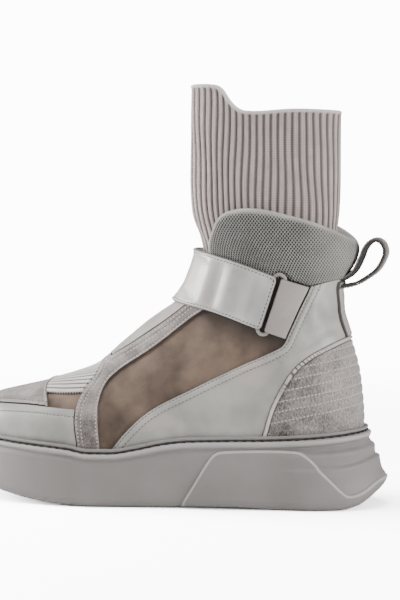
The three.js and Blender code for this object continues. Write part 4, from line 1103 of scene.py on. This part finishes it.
STRAP_LAP = 12
stripe_top = seam(
    (0.628, 0.56), (0.624, 0.44), (0.6, 0.456), (0.56, 0.484), (0.491, 0.532), (0.434, 0.59), (0.39, 0.65),
    (0.34, 0.9)
)
under_band = right_of(band_top, STRAP_WIDTH - STRAP_LAP)
mid_sheet = form_sheet(5.2, 15, PANEL_STEP, PANEL_LOWER, PANEL_UPPER)
instep_folds = [(0.6, 0.47, 0.47, 0.57, 5, 0.5), (0.56, 0.52, 0.45, 0.62, 5, -0.4)]
add_overlay(
    "instep_leather", mid_sheet, [left_of(stripe_top), under_band], GAP, LEATHER, pale_leather,
    "smooth_leather",
    ["instep_panel"], relief=lambda at, inside, data: folds(at, instep_folds) * ramp(inside, 1, 6),
)

# Side stripe
# A band of suede that climbs from the sole over the instep, sewn down with pale double rows.

STRIPE = 1.6
stripe_rear = seam(
    (0.614, -0.08), (0.616, 0.054), (0.622, 0.182), (0.624, 0.25), (0.613, 0.326), (0.584, 0.376),
    (0.508, 0.428), (0.416, 0.529), (0.354, 0.61), (0.31, 0.95),
)
add_overlay(
    "stripe_suede", mid_sheet,
    [right_of(stripe_front), left_of(stripe_rear), right_of(stripe_top), under_band],
    GAP, STRIPE, grey_suede, "suede", ["side_stripe"],
    rows=[(0, 1.5, bold_stitch), (0, 4.1, bold_stitch), (1, 1.5, bold_stitch), (2, 1.5, bold_stitch),
          (2, 4.1, bold_stitch)],
)

# Quarter
# Smooth pale leather round the heel and ankle, its front edge folded over and sewn twice, creased where the
# ankle
# bends.

quarter_front = seam(
    (0.66, -0.08), (0.592, 0.035), (0.558, 0.095), (0.502, 0.161), (0.397, 0.234), (0.277, 0.326),
    (0.2, 0.381),
    (0.172, 0.408), (0.158, 0.46), (0.131, 0.57), (0.108, 0.66), (0.09, 0.76),
)
counter_front = seam(
    (0.24, -0.09), (0.221, 0.015), (0.202, 0.127), (0.176, 0.219), (0.145, 0.302), (0.105, 0.358),
    (0.06, 0.397), (0.022, 0.423), (-0.1, 0.487),
)
quarter_folds = [
    (0.16, 0.36, 0.09, 0.42, 3.2, -1.2), (0.19, 0.33, 0.1, 0.39, 3.5, 1.1),
    (0.13, 0.44, 0.05, 0.47, 3.5, -0.9),
    (0.12, 0.62, 0.1, 0.46, 4.5, 1.0), (0.085, 0.6, 0.06, 0.45, 3.5, -0.9), (0.3, 0.24, 0.22, 0.3, 6, 0.7),
    (0.36, 0.1, 0.26, 0.22, 7, -0.7), (0.45, 0.06, 0.34, 0.16, 7, 0.6), (0.14, 0.53, 0.1, 0.6, 3, -0.7),
]


def quarter_relief(at, inside, data):
    from_front = -line_distance(quarter_front, at[:, 0], at[:, 2])
    rolled = 0.6 * np.exp(-(((from_front - 3.2) / 1.3) ** 2))
    return rolled + folds(at, quarter_folds) * ramp(inside, 1, 7)


rear_sheet = form_sheet(7, 21, PANEL_STEP, PANEL_LOWER, PANEL_UPPER)
add_overlay(
    "quarter_leather", rear_sheet, [right_of(quarter_front), left_of(counter_front), right_of(collar_foot)],
    GAP,
    LEATHER, pale_leather, "smooth_leather", ["quarter"], radius=1.1,
    rows=[(0, 1.5, fine_stitch), (0, 5.0, fine_stitch)], relief=quarter_relief, rims=(3.2,),
)

# Heel counter
# A stiff suede heel cup, quilted in rows that rise to the back, with a leather piping round its edge.

COUNTER = 2
PIPING = 2.6
PIPING_WIDTH = 2
QUILT_PITCH = 6.4
QUILT_DIP = 0.9
QUILT_ROWS = 13
quilt_start = spot(0.23, 0.02)
quilt_run = spot(-0.02, 0.085) - quilt_start
quilt_run /= np.linalg.norm(quilt_run)
quilt_up = np.array([-quilt_run[1], quilt_run[0]])


def quilt_row(at):
    """Which quilt row a point lies in, counted up from the sole."""
    flat = at[:, [0, 2]] - quilt_start
    return (flat @ quilt_up) / QUILT_PITCH


def quilt_phase(at, from_ridge):
    return np.abs(quilt_row(at) % 1 - 0.5) * 2


def quilt_relief(at, inside, data):
    return -QUILT_DIP * quilt_phase(at, None) ** 4 * ramp(inside, 0.6, 2)


def quilted_finish():
    """The counter's suede: its nap lies in short slanting strokes, dark on the puffs and rubbed
    pale in the rows."""
    material, tree, shader, place = new_material("quilted_suede")
    cloud = mottle(tree, place, 16.0, 0.2)
    slant = add_node(
        tree, "ShaderNodeMapping", {"vector_type": "POINT"}, Vector=place, Rotation=(0.0, 0.9, 0.0),
        Scale=(1.3, 1.3, 0.5)
    )
    strokes = add_node(tree, "ShaderNodeTexNoise", Vector=slant.outputs[0], Scale=1.0, Detail=3.0,
                       Roughness=0.6)
    nap = spread(tree, strokes.outputs[0], 0.35, 0.65)
    phase = attribute(tree, "quilt")
    share = maths(tree, "MULTIPLY_ADD", nap, 0.75, maths(tree, "MULTIPLY", cloud, 0.25))
    from_back = add_node(tree, "ShaderNodeSeparateXYZ", Vector=place).outputs[0]
    pale = spread(tree, maths(tree, "MULTIPLY_ADD", cloud, 22.0, from_back), -14.0, 36.0)
    low = mixed(tree, pale, tone(74, 69, 66), tone(128, 120, 117))
    high = mixed(tree, pale, tone(150, 143, 139), tone(190, 182, 179))
    base = mixed(tree, share, low, high)
    wear_and_highlight = maths(tree, "MULTIPLY", spread(tree, phase, 0.7, 1.0), 0.35)
    tree.links.new(mixed(tree, wear_and_highlight, base, tone(190, 182, 178)), shader.inputs["Base Color"])
    set_values(shader, {"Roughness": 0.95, "Specular IOR Level": 0.2, "Sheen Weight": 0.25})
    bump(tree, shader, nap, 0.25)
    return material


counter_limit = right_of(counter_front, GAP / 2 + PIPING_WIDTH + GAP)
quilt_sheet = form_sheet(9.5, 18.5, 1.2, 26, 52)
quilt_lines = [(number + step) for number in range(1, QUILT_ROWS + 1) for step in (-0.17, 0.0, 0.17)]
quilt_data, quilt_triangles = quilt_sheet
for line in quilt_lines:
    level = quilt_row(quilt_data[:, :3] + quilt_data[:, 3:6] * (GAP + COUNTER))
    quilt_data, quilt_triangles, _ = split(quilt_data, quilt_triangles, level, line)
add_overlay(
    "counter_suede", (quilt_data, quilt_triangles), [counter_limit], GAP, COUNTER, quilted_finish(), "suede",
    ["heel_counter"], radius=1.2, relief=quilt_relief, extra={"quilt": quilt_phase},
)
data, triangles, inside = cut_panel(quilt_sheet, [counter_limit], GAP + COUNTER, [0.4, 1.2])
at = data[:, :3] + data[:, 3:6] * (GAP + COUNTER)
quilt_surface = at - data[:, 3:6] * (QUILT_DIP * 0.8)
quilt_points, quilt_facing, quilt_edges = [], [], []
counted = 0
for number in range(1, QUILT_ROWS + 1):
    points, facing, edges = row_on(quilt_surface, triangles, quilt_row(at), inside, number)
    quilt_points.append(points)
    quilt_facing.append(facing)
    quilt_edges.append(edges + counted)
    counted += len(points)
sew(
    "counter_quilt_stitches", np.concatenate(quilt_points), np.concatenate(quilt_facing),
    np.concatenate(quilt_edges),
    pale_thread, 2.4, 1.6, 1.15, 0.85, "suede",
)
PIPING_LAP = 0.2
piping_limits = [
    right_of(counter_front, -PIPING_LAP), left_of(counter_front, -(GAP + PIPING_WIDTH + PIPING_LAP)),
]
piping_leather = leather_finish(
    "piping_leather", tone(194, 187, 182), tone(212, 205, 200), tone(210, 199, 194), tone(128, 120, 115)
)
add_overlay(
    "counter_piping_leather", form_sheet(9.5, 18.5, 0.9, 34, 70), piping_limits, GAP, PIPING, piping_leather,
    "smooth_leather", ["counter_piping"], radius=1.4,
)

# Collar
# A soft pad of foam under spacer mesh with diamond holes. It is rolled in over its top edge, where the mesh
# is
# stretched and closes up, and its foot is tucked in behind the quarter and the strap.

COLLAR_PUFF = 2.5
COLLAR_ROLL = 6.5
MESH_ALONG = 2.3
MESH_UP = 2.7
SOCK_RISE = 230
SOCK_DEPTH = 40
SOCK_SQUARE = 0.9
SOCK_CLEAR = 0.4
SLOT_WIDTH = 2.3
RING_WIDTH = 10
RING_OVERHANG = 3.5

# The sock's loops: rise is a part of SOCK_RISE above the heel seat, front and back are parts of
# FOOT_LENGTH, and
# depth is a part of SOCK_DEPTH.
sock_loops = columns(
    "rise front back depth",
    [
        (0.43, 0.37, 0.075, 1.35), (0.52, 0.395, 0.066, 1.46), (0.587, 0.412, 0.06, 1.46),
        (0.652, 0.424, 0.054, 1.42),
        (0.739, 0.428, 0.052, 1.28), (0.848, 0.427, 0.052, 1.12), (1.02, 0.425, 0.05, 1),
    ],
)
wall_data, wall_triangles = form_sheet(10, 23, 2.5, 16, 30)
wall_points = wall_data[:, :3] - wall_data[:, 3:6] * (WALL + GAP)
wall_tree = BVHTree.FromPolygons(wall_points.tolist(), wall_triangles.tolist())


def sock_reach(x, y, z):
    """The sock's axis at these heights, the level direction to each point, and how far the sock
    reaches that way."""
    rise = (z - HEEL_HEIGHT) / SOCK_RISE
    front, back = (x_of(table_at(sock_loops, "rise", end, rise)) for end in ("front", "back"))
    middle, half = (front + back) / 2, (back - front) / 2
    depth = table_at(sock_loops, "rise", "depth", rise) * SOCK_DEPTH / 2
    away = np.maximum(np.hypot(x - middle, y), 1e-6)
    along, out = (x - middle) / away, y / away
    power = 2 / SOCK_SQUARE
    reach = (np.abs(along / half) ** power + np.abs(out / depth) ** power) ** (-1 / power)
    for i in range(len(reach)):
        hit = wall_tree.ray_cast((middle[i], 0, z[i]), (along[i], out[i], 0))
        if hit[3] is not None:
            reach[i] = min(reach[i], hit[3])
    return middle, along, out, reach


tip_high = strap_top[-1]
runs = [strap_top[-1] - strap_top[-2], anchor_top[1] - anchor_top[0]]
tip_back = sum(run / np.linalg.norm(run) for run in runs)
tip_back /= np.linalg.norm(tip_back)
tip_run = np.array([tip_back[1], -tip_back[0]])
tip_low = tip_high + STRAP_WIDTH * tip_run
ring_middle = (tip_high + tip_low) / 2 + tip_back * SLOT_WIDTH / 2
ring_straight = STRAP_WIDTH / 2 + RING_OVERHANG - RING_WIDTH / 2


def ring_distance(points):
    """How far a point of the outer side lies from the ring's middle line in the side view. Far on
    the inner side."""
    flat = points[:, [0, 2]] - ring_middle
    along = flat @ tip_run
    apart = np.hypot(along - np.clip(along, -ring_straight, ring_straight), flat @ tip_back)
    return np.where(points[:, 1] < 0, apart, STRAP_WIDTH)


def spacer_mesh_finish():
    """Spacer mesh: pale yarn round dark diamond holes in staggered rows, closing up towards the
    pad's top edge, and fewer towards the back as a painted highlight."""
    material, tree, shader, place = new_material("spacer_mesh")
    around = attribute(tree, "ridge_way")
    upright = add_node(tree, "ShaderNodeSeparateXYZ", Vector=place).outputs[2]
    u = maths(tree, "DIVIDE", around, MESH_ALONG)
    v = maths(tree, "DIVIDE", upright, MESH_UP)
    apart = [
        maths(tree, "ABSOLUTE", maths(tree, "SUBTRACT", maths(tree, "FRACT", maths(tree, way, u, v)), 0.5))
        for way in ("ADD", "SUBTRACT")
    ]
    from_hole = maths(tree, "MAXIMUM", *apart)
    open_share = attribute(tree, "open")
    hole = maths(tree, "MULTIPLY", spread(tree, from_hole, 0.46, 0.3), open_share)
    cloud = mottle(tree, place, 14.0, 0.4)
    yarn = mixed(tree, cloud, tone(158, 155, 150), tone(182, 179, 174))
    tree.links.new(mixed(tree, hole, yarn, tone(22, 21, 20)), shader.inputs["Base Color"])
    set_values(shader, {"Roughness": 0.85})
    bump(tree, shader, maths(tree, "SUBTRACT", 1.0, hole), 0.35)
    return material


collar_top = seam(
    (0.373, 0.76), (0.371, 0.823), (0.366, 0.876), (0.356, 0.921), (0.345, 0.96), (0.324, 0.989),
    (0.285, 1.002),
    (0.228, 0.996), (0.154, 0.965), (0.082, 0.923), (0.03, 0.876), (0.004, 0.84), (-0.01, 0.8),
)
collar_limits = [left_of(collar_foot), right_of(collar_top, 0)]
rolls = [COLLAR_ROLL * share for share in (0.015, 0.06, 0.14, 0.25, 0.4, 0.6, 0.8, 1.0)]
data, triangles, inside = cut_panel(form_sheet(12, 23, 1.7, 24, 48), collar_limits, GAP + LEATHER, rolls)
at = data[:, :3] + data[:, 3:6] * (GAP + LEATHER)
over_strap = line_distance(band_top, at[:, 0], at[:, 2])
puff = GAP + LEATHER + (COLLAR_PUFF + 0.3 - GAP - LEATHER) * ramp(over_strap, -1, 7)
puff *= ramp(ring_distance(data[:, :3]), RING_WIDTH / 2 + GAP, RING_WIDTH / 2 + 1.6)
puff -= 0.8 * (1 - rounded(collar_limits[0](at), 2.5))
outer = data[:, :3] + data[:, 3:6] * puff[:, None]
middle, along, out, reach = sock_reach(*outer.T)
away = np.hypot(outer[:, 0] - middle, outer[:, 1])
reach = np.minimum(reach + SOCK_CLEAR, away - WALL)
inner = np.stack([middle + along * reach, out * reach, outer[:, 2]], 1)
from_top = np.maximum(collar_limits[1](at), 0)
rolled = 0.5 * (1 - rounded(from_top, COLLAR_ROLL))[:, None]
points, faces = closed_shell(outer + (inner - outer) * rolled, inner + (outer - inner) * rolled, triangles)
# Painted highlight: fewer holes towards the back, where the pad turns to the light.
open_share = ramp(from_top, 1, 4.5) * (1 - 0.4 * ramp(at[:, 0], -12, 24))
collar_attributes = {"ridge_way": np.tile(data[:, 7], 2), "open": np.tile(open_share, 2)}
collar_pad = add_piece(
    "collar_pad", points, faces, spacer_mesh_finish(), ["collar"], collar_attributes, sharp=70
)

# Sock
# The shaft is one tube of rib knit in a pinkish grey yarn, with a rolled rim that stands higher in front.

SOCK = 2.2
RIBS = 50
RIB_STEPS = 10
RIB_DEPTH = 1.1
STITCH_TALL = 1.5
SOCK_ROWS = 46
RIM_LEAN = 0.21
CIRCLE_STEPS = 720
LEVELS = 24
TWIST = 0.0016
TWIST_AT = 3.5
FAR = 1000


def rib_knit_finish():
    """Heavy rib knit: two columns of stitches on each rib, and painted shade in the groove between the ribs.
    """
    material, tree, shader, place = new_material("sock_knit")
    phase = attribute(tree, "rib")
    upright = add_node(tree, "ShaderNodeSeparateXYZ", Vector=place).outputs[2]
    column = maths(tree, "ABSOLUTE", maths(tree, "SUBTRACT", phase, 0.5))
    leg = maths(tree, "MULTIPLY_ADD", column, 1.3, maths(tree, "DIVIDE", upright, STITCH_TALL))
    ridge = maths(tree, "ABSOLUTE", maths(tree, "SUBTRACT", maths(tree, "FRACT", leg), 0.5))
    loops = maths(tree, "MULTIPLY", spread(tree, ridge, 0.5, 0.1), spread(tree, column, 0.5, 0.3))
    cloud = mottle(tree, place, 9.0, 0.5)
    paler_tone = mixed(tree, cloud, tone(202, 189, 185), tone(228, 216, 212))
    yarn = mixed(tree, loops, mixed(tree, cloud, tone(164, 151, 147), tone(188, 175, 171)), paler_tone)
    rim = attribute(tree, "rim")
    # Painted shade: the grooves between the ribs are painted dark, except on the rim.
    groove_shade = maths(tree, "MULTIPLY", spread(tree, phase, 0.2, 0.85), maths(tree, "SUBTRACT", 1.0, rim))
    ribbed = mixed(tree, groove_shade, yarn, tone(112, 100, 97))
    tree.links.new(mixed(tree, rim, ribbed, tone(222, 215, 212)), shader.inputs["Base Color"])
    set_values(shader, {"Roughness": 0.93, "Sheen Weight": 0.2})
    bump(tree, shader, loops, 0.3)
    return material


sock_rim = [
    (0.5, 1), (0.36, 1), (0.342, 0.99), (0.318, 0.952), (0.294, 0.93), (0.26, 0.924), (0.15, 0.93),
    (0, 0.924),
]
rim_line = smooth([(x_of(s), HEEL_HEIGHT + rise * SOCK_RISE) for s, rise in sock_rim])
sock_foot = HEEL_HEIGHT + sock_loops["rise"][0] * SOCK_RISE
circle = np.linspace(0, math.tau, CIRCLE_STEPS + 1)
levels = np.linspace(sock_foot, HEEL_HEIGHT + SOCK_RISE, LEVELS)
wale = np.arange(RIBS * RIB_STEPS)
wale_turns = []
for level in levels:
    height = np.full(len(circle), level)
    middle, along, out, reach = sock_reach(FAR * np.cos(circle), FAR * np.sin(circle), height)
    walked = np.hypot(np.diff(along * reach), np.diff(out * reach)).cumsum()
    wale_turns.append(np.interp(wale / len(wale), np.concatenate([[0], walked]) / walked[-1], circle))
wale_turns = np.array(wale_turns)


def sock_way(height):
    """The direction of each column of points at these heights, a turn about the sock's axis."""
    place = np.clip((height - levels[0]) / (levels[1] - levels[0]), 0, LEVELS - 1.001)
    low = place.astype(int)
    share = place - low
    columns_at = np.arange(len(wale))
    return wale_turns[low, columns_at] * (1 - share) + wale_turns[low + 1, columns_at] * share


def sock_at(height, sway=0.0):
    turn = sock_way(height) + sway
    return sock_reach(FAR * np.cos(turn), FAR * np.sin(turn), height)


rib = np.abs((wale / RIB_STEPS) % 1 - 0.5) * 2
top_z = np.full(len(wale), float(HEEL_HEIGHT + SOCK_RISE))
for _ in range(3):
    middle, along, out, reach = sock_at(top_z)
    leaned = middle + along * reach + RIM_LEAN * (out * reach + SOCK_DEPTH / 2)
    top_z = np.interp(leaned, *rim_line.T)
near_rim = [0, 0.1, 0.35, 0.75, 1.3, 2, 2.8, 3.8, 5]
depths = [np.full(len(wale), float(depth)) for depth in near_rim]
depths += [near_rim[-1] + (top_z - near_rim[-1] - sock_foot) * k / SOCK_ROWS for k in range(1, SOCK_ROWS + 1)]
outer_rows, inner_rows, rim_rows = [], [], []
for depth in depths:
    height = top_z - depth
    waver = wale / len(wale) * math.tau
    sway = 0.012 * np.sin(height / 19 + 3 * waver) + 0.006 * np.sin(height / 8 + 5 * waver)
    sway += TWIST * depth * np.clip(np.cos(waver - TWIST_AT), 0, 1)
    middle, along, out, reach = sock_at(height, sway)
    roll = SOCK / 2 * (1 - rounded(depth, SOCK / 2))
    bead = 0.45 * np.exp(-(((depth - 1.3) / 1.1) ** 2))
    relief = RIB_DEPTH * rib**2 * (0.35 + 0.65 * ramp(depth, 1.5, 5)) * (1 - ramp(roll, 0, SOCK / 2))
    for rows, radius in ((outer_rows, reach - roll - relief + bead),
                         (inner_rows, reach - SOCK - RIB_DEPTH / 2 + roll)):
        radius = np.where(depth < 0.01, reach - SOCK / 2, radius)
        rows.append(np.stack([middle + along * radius, out * radius, height], 1))
    rim_rows.append(1 - ramp(depth, 1.6, 2.6))
sock_index = np.arange(len(depths) * len(wale)).reshape(len(depths), -1)
sock_index = np.concatenate([sock_index, sock_index[:, :1]], 1)
points, faces = closed_shell(np.concatenate(outer_rows), np.concatenate(inner_rows),
                             grid_triangles(sock_index)[:, ::-1])
sock_attributes = {"rib": np.tile(rib, 2 * len(depths)), "rim": np.tile(np.concatenate(rim_rows), 2)}
add_piece("sock_shaft", points, faces, rib_knit_finish(), ["sock"], sock_attributes, sharp=80)

# Strap
# A broad double strap of soft pale leather over the instep. It is sewn in at the inner side, and its free
# end, with
# rounded corners and one row of dark stitches, lies beside the ring on the outer side.

STRAP = 2.3
STRAP_BASE = 2.2
TIP_RADIUS = 3


def corner(first, second, radius):
    """Inside both limits, with their corner rounded."""
    near = (first < radius) & (second < radius)
    return np.where(near, radius - np.hypot(radius - first, radius - second), np.minimum(first, second))


def strap_area(points):
    from_top = -line_distance(band_top, points[:, 0], points[:, 2]) - GAP / 2
    from_low = STRAP_WIDTH - from_top - GAP / 2
    from_tip = np.minimum((tip_high - points[:, [0, 2]]) @ tip_back, STRAP_WIDTH)
    free = np.minimum(corner(from_top, from_tip, TIP_RADIUS), corner(from_low, from_tip, TIP_RADIUS))
    from_seam = line_distance(quarter_front, points[:, 0], points[:, 2]) + STRAP_LAP
    sewn = np.minimum(np.minimum(from_top, from_low), from_seam)
    return np.where(points[:, 1] < 0, free, sewn)


strap_folds = [
    (0.34, 0.84, 0.4, 0.52, 4, 1.0), (0.315, 0.82, 0.37, 0.5, 3.5, -1.1), (0.285, 0.79, 0.335, 0.5, 4, 1.1),
    (0.255, 0.77, 0.31, 0.48, 4, -0.8), (0.225, 0.74, 0.28, 0.46, 3.5, 0.6),
    (0.385, 0.88, 0.44, 0.56, 5, -0.9),
]
strap_leather = leather_finish(
    "strap_leather", tone(172, 170, 166), tone(212, 210, 206), tone(202, 195, 191), tone(118, 112, 106), 0.32
)
dark_stitch = {"thread": dark_thread, "pitch": 2.6, "length": 1.7, "width": 0.85, "height": 0.5}
strap_sheet = form_sheet(8, 20, 1.5, 28, 60)
add_overlay(
    "strap_band", strap_sheet, [strap_area], STRAP_BASE, STRAP, strap_leather, "smooth_leather", ["strap"],
    radius=0.9,
    rows=[(0, 1.7, dark_stitch)], relief=lambda at, inside,
    data: folds(at, strap_folds) * ramp(inside, 0.5, 5),
)

# Strap ring
# A flat oval ring in enamelled metal, lying in the slot between the strap's end and the anchor. Only its
# two ends show.

RING = 1.6
RING_BAR = 2.6


def ring_area(points):
    apart = ring_distance(points)
    return np.minimum(RING_WIDTH / 2 - apart, apart - (RING_WIDTH / 2 - RING_BAR))


def enamel_finish():
    """Grey enamel with a soft shine."""
    material, tree, shader, place = new_material("grey_enamel")
    cloud = mottle(tree, place, 8.0, 0.3)
    tree.links.new(mixed(tree, cloud, tone(150, 145, 140), tone(172, 167, 161)), shader.inputs["Base Color"])
    set_values(shader, {"Roughness": 0.35, "Coat Weight": 0.3})
    return material


add_overlay(
    "strap_ring_oval", form_sheet(9, 21, 1.0, 44, 90), [ring_area], GAP, RING, enamel_finish(),
    "smooth_leather", ["strap_ring"],
)

# Strap anchor
# A short double tab of the same leather, sewn in under the quarter's front edge. It holds the ring.


def anchor_area(points):
    flat = points[:, [0, 2]] - tip_high
    along = flat @ tip_run
    return np.min([flat @ tip_back - SLOT_WIDTH, along, STRAP_WIDTH - along, -points[:, 1] - WALL], axis=0)


anchor_leather = leather_finish(
    "anchor_leather", tone(160, 152, 148), tone(182, 175, 171), tone(184, 172, 168), tone(112, 105, 100)
)
add_overlay(
    "strap_anchor_tab", strap_sheet, [anchor_area, left_of(quarter_front), right_of(collar_foot)],
    STRAP_BASE, 1.2,
    anchor_leather, "smooth_leather", ["strap_anchor"], radius=0.9,
)

# Back stay
# A strip of leather down the heel's back from the loop to the counter, over a dark tape that shows along
# its edges.

BAND_WIDTH = 18
STAY_BASE = 1.9
TAPE_SHOWS = 1.3
STAY_WAVE = 0.7
STAY_WAVE_LENGTH = 4.5
loop_root = spot(0.049, 0.66)


def stay_area(half):
    return lambda points: np.min(
        [half + STAY_WAVE * np.sin(points[:, 2] / STAY_WAVE_LENGTH) - np.abs(points[:, 1]),
         loop_root[1] - points[:, 2], points[:, 0]], axis=0
    )


stay_folds = [(0.06, 0.6, 0.0, 0.58, 3, 0.5), (0.07, 0.5, 0.0, 0.53, 3.5, -0.4)]
dark_tape = fabric_finish("dark_tape", tone(52, 50, 47), tone(76, 73, 69), 0.8)
stay_sheet = form_sheet(12, 20, 1.0, 60, 60)
stay_limits = [stay_area(BAND_WIDTH / 2 + TAPE_SHOWS), left_of(counter_front)]
add_overlay("back_stay_tape", stay_sheet, stay_limits, LEATHER + GAP, 0.5, dark_tape, "lining", [],
            radius=0.4)
stay_limits = [stay_area(BAND_WIDTH / 2), left_of(counter_front)]
add_overlay(
    "back_stay_strip", stay_sheet, stay_limits, STAY_BASE, LEATHER, pale_leather, "smooth_leather",
    ["back_stay"],
    relief=lambda at, inside, data: folds(at, stay_folds) * ramp(inside, 0.5, 4),
)

# Pull loop
# A loop of leather at the top of the heel, lined with a dark grey tape and sewn along both edges.

BAND = 1.2
loop_path = [
    (0.012, 0.012), (0.041, 0.03), (0.066, 0.057), (0.09, 0.107), (0.106, 0.147), (0.127, 0.173),
    (0.154, 0.185), (0.182, 0.17),
    (0.195, 0.133), (0.183, 0.093), (0.157, 0.053), (0.114, 0.02), (0.071, -0.005), (0.029, -0.016),
    (0.0, -0.02),
]
band_line = smooth([loop_root + np.array(place) * UPPER_RISE for place in loop_path], 10)
run = np.gradient(band_line, axis=0)
run /= np.linalg.norm(run, axis=1, keepdims=True)
band_left = np.stack([-run[:, 1], run[:, 0]], 1)


BAND_ROUND = 0.45


def loop_strip(low, high, half):
    """A band swept along the loop's path between two heights beside it, with rounded edges."""
    turns = np.linspace(0, math.tau, 17)[:-1]
    corner_y = np.where(np.cos(turns) >= 0, half - BAND_ROUND, BAND_ROUND - half) + BAND_ROUND * np.cos(turns)
    corner_n = np.where(np.sin(turns) >= 0, high - BAND_ROUND, low + BAND_ROUND) + BAND_ROUND * np.sin(turns)
    rows = []
    for place, left in zip(band_line, band_left):
        flat = place + left * corner_n[:, None]
        rows.append(np.stack([flat[:, 0], corner_y, flat[:, 1]], 1))
    count, wide = len(rows), len(turns)
    index = np.arange(count * wide).reshape(count, wide)
    index = np.concatenate([index, index[:, :1]], 1)
    points = np.concatenate([*rows, [rows[0].mean(0)], [rows[-1].mean(0)]])
    caps = [(count * wide, index[0, k], index[0, k + 1]) for k in range(wide)]
    caps += [(count * wide + 1, index[-1, k + 1], index[-1, k]) for k in range(wide)]
    triangles = np.concatenate([grid_triangles(index)[:, ::-1], caps])
    return points, triangles


points, triangles = loop_strip(GAP / 2, GAP / 2 + BAND, BAND_WIDTH / 2)
inside = BAND_WIDTH / 2 - np.abs(points[:, 1])
add_piece("pull_loop_leather", points, triangles, pale_leather, ["pull_loop"],
          {"inside": inside})
points, triangles = loop_strip(-GAP / 2 - BAND, -GAP / 2 + 0.25, BAND_WIDTH / 2 - 0.3)
add_piece("pull_loop_lining", points, triangles, dark_tape, ["loop_lining"])
for side in (-1, 1):
    row = band_line + band_left * (GAP / 2 + BAND)
    row = np.stack([row[:, 0], np.full(len(row), side * (BAND_WIDTH / 2 - 1.8)), row[:, 1]], 1)
    facing = np.stack([band_left[:, 0], np.zeros(len(row)), band_left[:, 1]], 1)
    edges = np.stack([np.arange(len(row) - 1), np.arange(1, len(row))], 1)
    place = "outer" if side < 0 else "inner"
    sew(f"pull_loop_stitches_{place}", row, facing, edges, grey_thread, 2.6, 1.9, 0.5, 0.4, "smooth_leather")

# Floor, light and camera
# A plain pale floor, soft studio light from the upper left and the photograph's view of the outer side.

CAMERA_AZIMUTH = 12
CAMERA_ELEVATION = 3.5
CAMERA_DISTANCE = 1300
CAMERA_LENS = 117
CAMERA_TARGET = (-77, 0, 132.8)
FLOOR_GLOW = 6.2
FLOOR_FADE = (250, 1100)
SKY_GLOW = 13.0
SKY_LIGHT = 0.35


def floor_finish():
    """White paper, lit so that the camera sees it nearly burnt out, as in a catalogue picture."""
    material, tree, shader, place = new_material("pale_floor")
    cloud = mottle(tree, place, 400.0, 0.1)
    tree.links.new(mixed(tree, cloud, tone(226, 226, 226), tone(232, 232, 232)), shader.inputs["Base Color"])
    set_values(shader, {"Roughness": 0.9})
    lit = add_node(tree, "ShaderNodeBsdfDiffuse", Color=(*(FLOOR_GLOW,) * 3, 1.0)).outputs[0]
    glow = add_node(tree, "ShaderNodeEmission", Strength=SKY_GLOW).outputs[0]
    away = add_node(tree, "ShaderNodeVectorMath", {"operation": "LENGTH"}, i0=place).outputs["Value"]
    far = spread(tree, away, *FLOOR_FADE)
    bright = add_node(tree, "ShaderNodeMixShader", i0=far, i1=lit, i2=glow).outputs[0]
    seen = tree.nodes.new("ShaderNodeLightPath").outputs["Is Camera Ray"]
    shown = add_node(tree, "ShaderNodeMixShader", i0=seen, i1=shader.outputs[0], i2=bright).outputs[0]
    tree.links.new(shown, tree.nodes["Material Output"].inputs["Surface"])
    return material


floor_size = 4
floor_mesh = bpy.data.meshes.new("floor")
floor_corners = [(-floor_size, -floor_size, 0), (floor_size, -floor_size, 0)]
floor_corners += [(floor_size, floor_size, 0), (-floor_size, floor_size, 0)]
floor_mesh.from_pydata(floor_corners, [], [(0, 1, 2, 3)])
floor_mesh.materials.append(floor_finish())
floor = bpy.data.objects.new("floor", floor_mesh)
bpy.context.scene.collection.objects.link(floor)


def add_light(name, place, aim, size, power):
    light = bpy.data.lights.new(name, "AREA")
    light.shape = "RECTANGLE"
    light.size, light.size_y = size
    light.energy = power
    made = bpy.data.objects.new(name, light)
    made.location = place
    made.rotation_euler = (Vector(aim) - Vector(place)).to_track_quat("-Z", "Y").to_euler()
    bpy.context.scene.collection.objects.link(made)
    return made


add_light("toe", (-1.5, 0.15, 0.45), (-0.06, 0, 0.12), (0.6, 0.6), 32)
add_light("heel", (1.25, -0.4, 0.35), (-0.03, 0, 0.08), (0.6, 0.7), 15)
add_light("key", (-1.1, -0.3, 1.2), (-0.06, 0, 0.12), (0.7, 0.7), 9)
add_light("top", (-0.2, 0, 1.4), (-0.06, 0, 0.12), (0.9, 0.9), 12)
add_light("front", (-0.3, -1.5, 0.7), (-0.06, 0, 0.12), (1.0, 0.8), 3)
world = bpy.data.worlds.new("studio")
bpy.context.scene.world = world
world.use_nodes = True
sky = world.node_tree
seen = sky.nodes.new("ShaderNodeLightPath").outputs["Is Camera Ray"]
sky.nodes["Background"].inputs["Color"].default_value = (1, 1, 1, 1)
sky.links.new(
    maths(sky, "MULTIPLY_ADD", seen, SKY_GLOW - SKY_LIGHT, SKY_LIGHT),
    sky.nodes["Background"].inputs["Strength"]
)

azimuth, elevation = math.radians(CAMERA_AZIMUTH), math.radians(CAMERA_ELEVATION)
back_way = Vector((math.sin(azimuth) * math.cos(elevation), -math.cos(azimuth) * math.cos(elevation),
                   math.sin(elevation)))
camera_data = bpy.data.cameras.new("camera")
camera_data.lens = CAMERA_LENS
camera = bpy.data.objects.new("camera", camera_data)
camera.location = (Vector(CAMERA_TARGET) + back_way * CAMERA_DISTANCE) * MM
camera.rotation_euler = (-back_way).to_track_quat("-Z", "Y").to_euler()
bpy.context.scene.collection.objects.link(camera)
bpy.context.scene.camera = camera
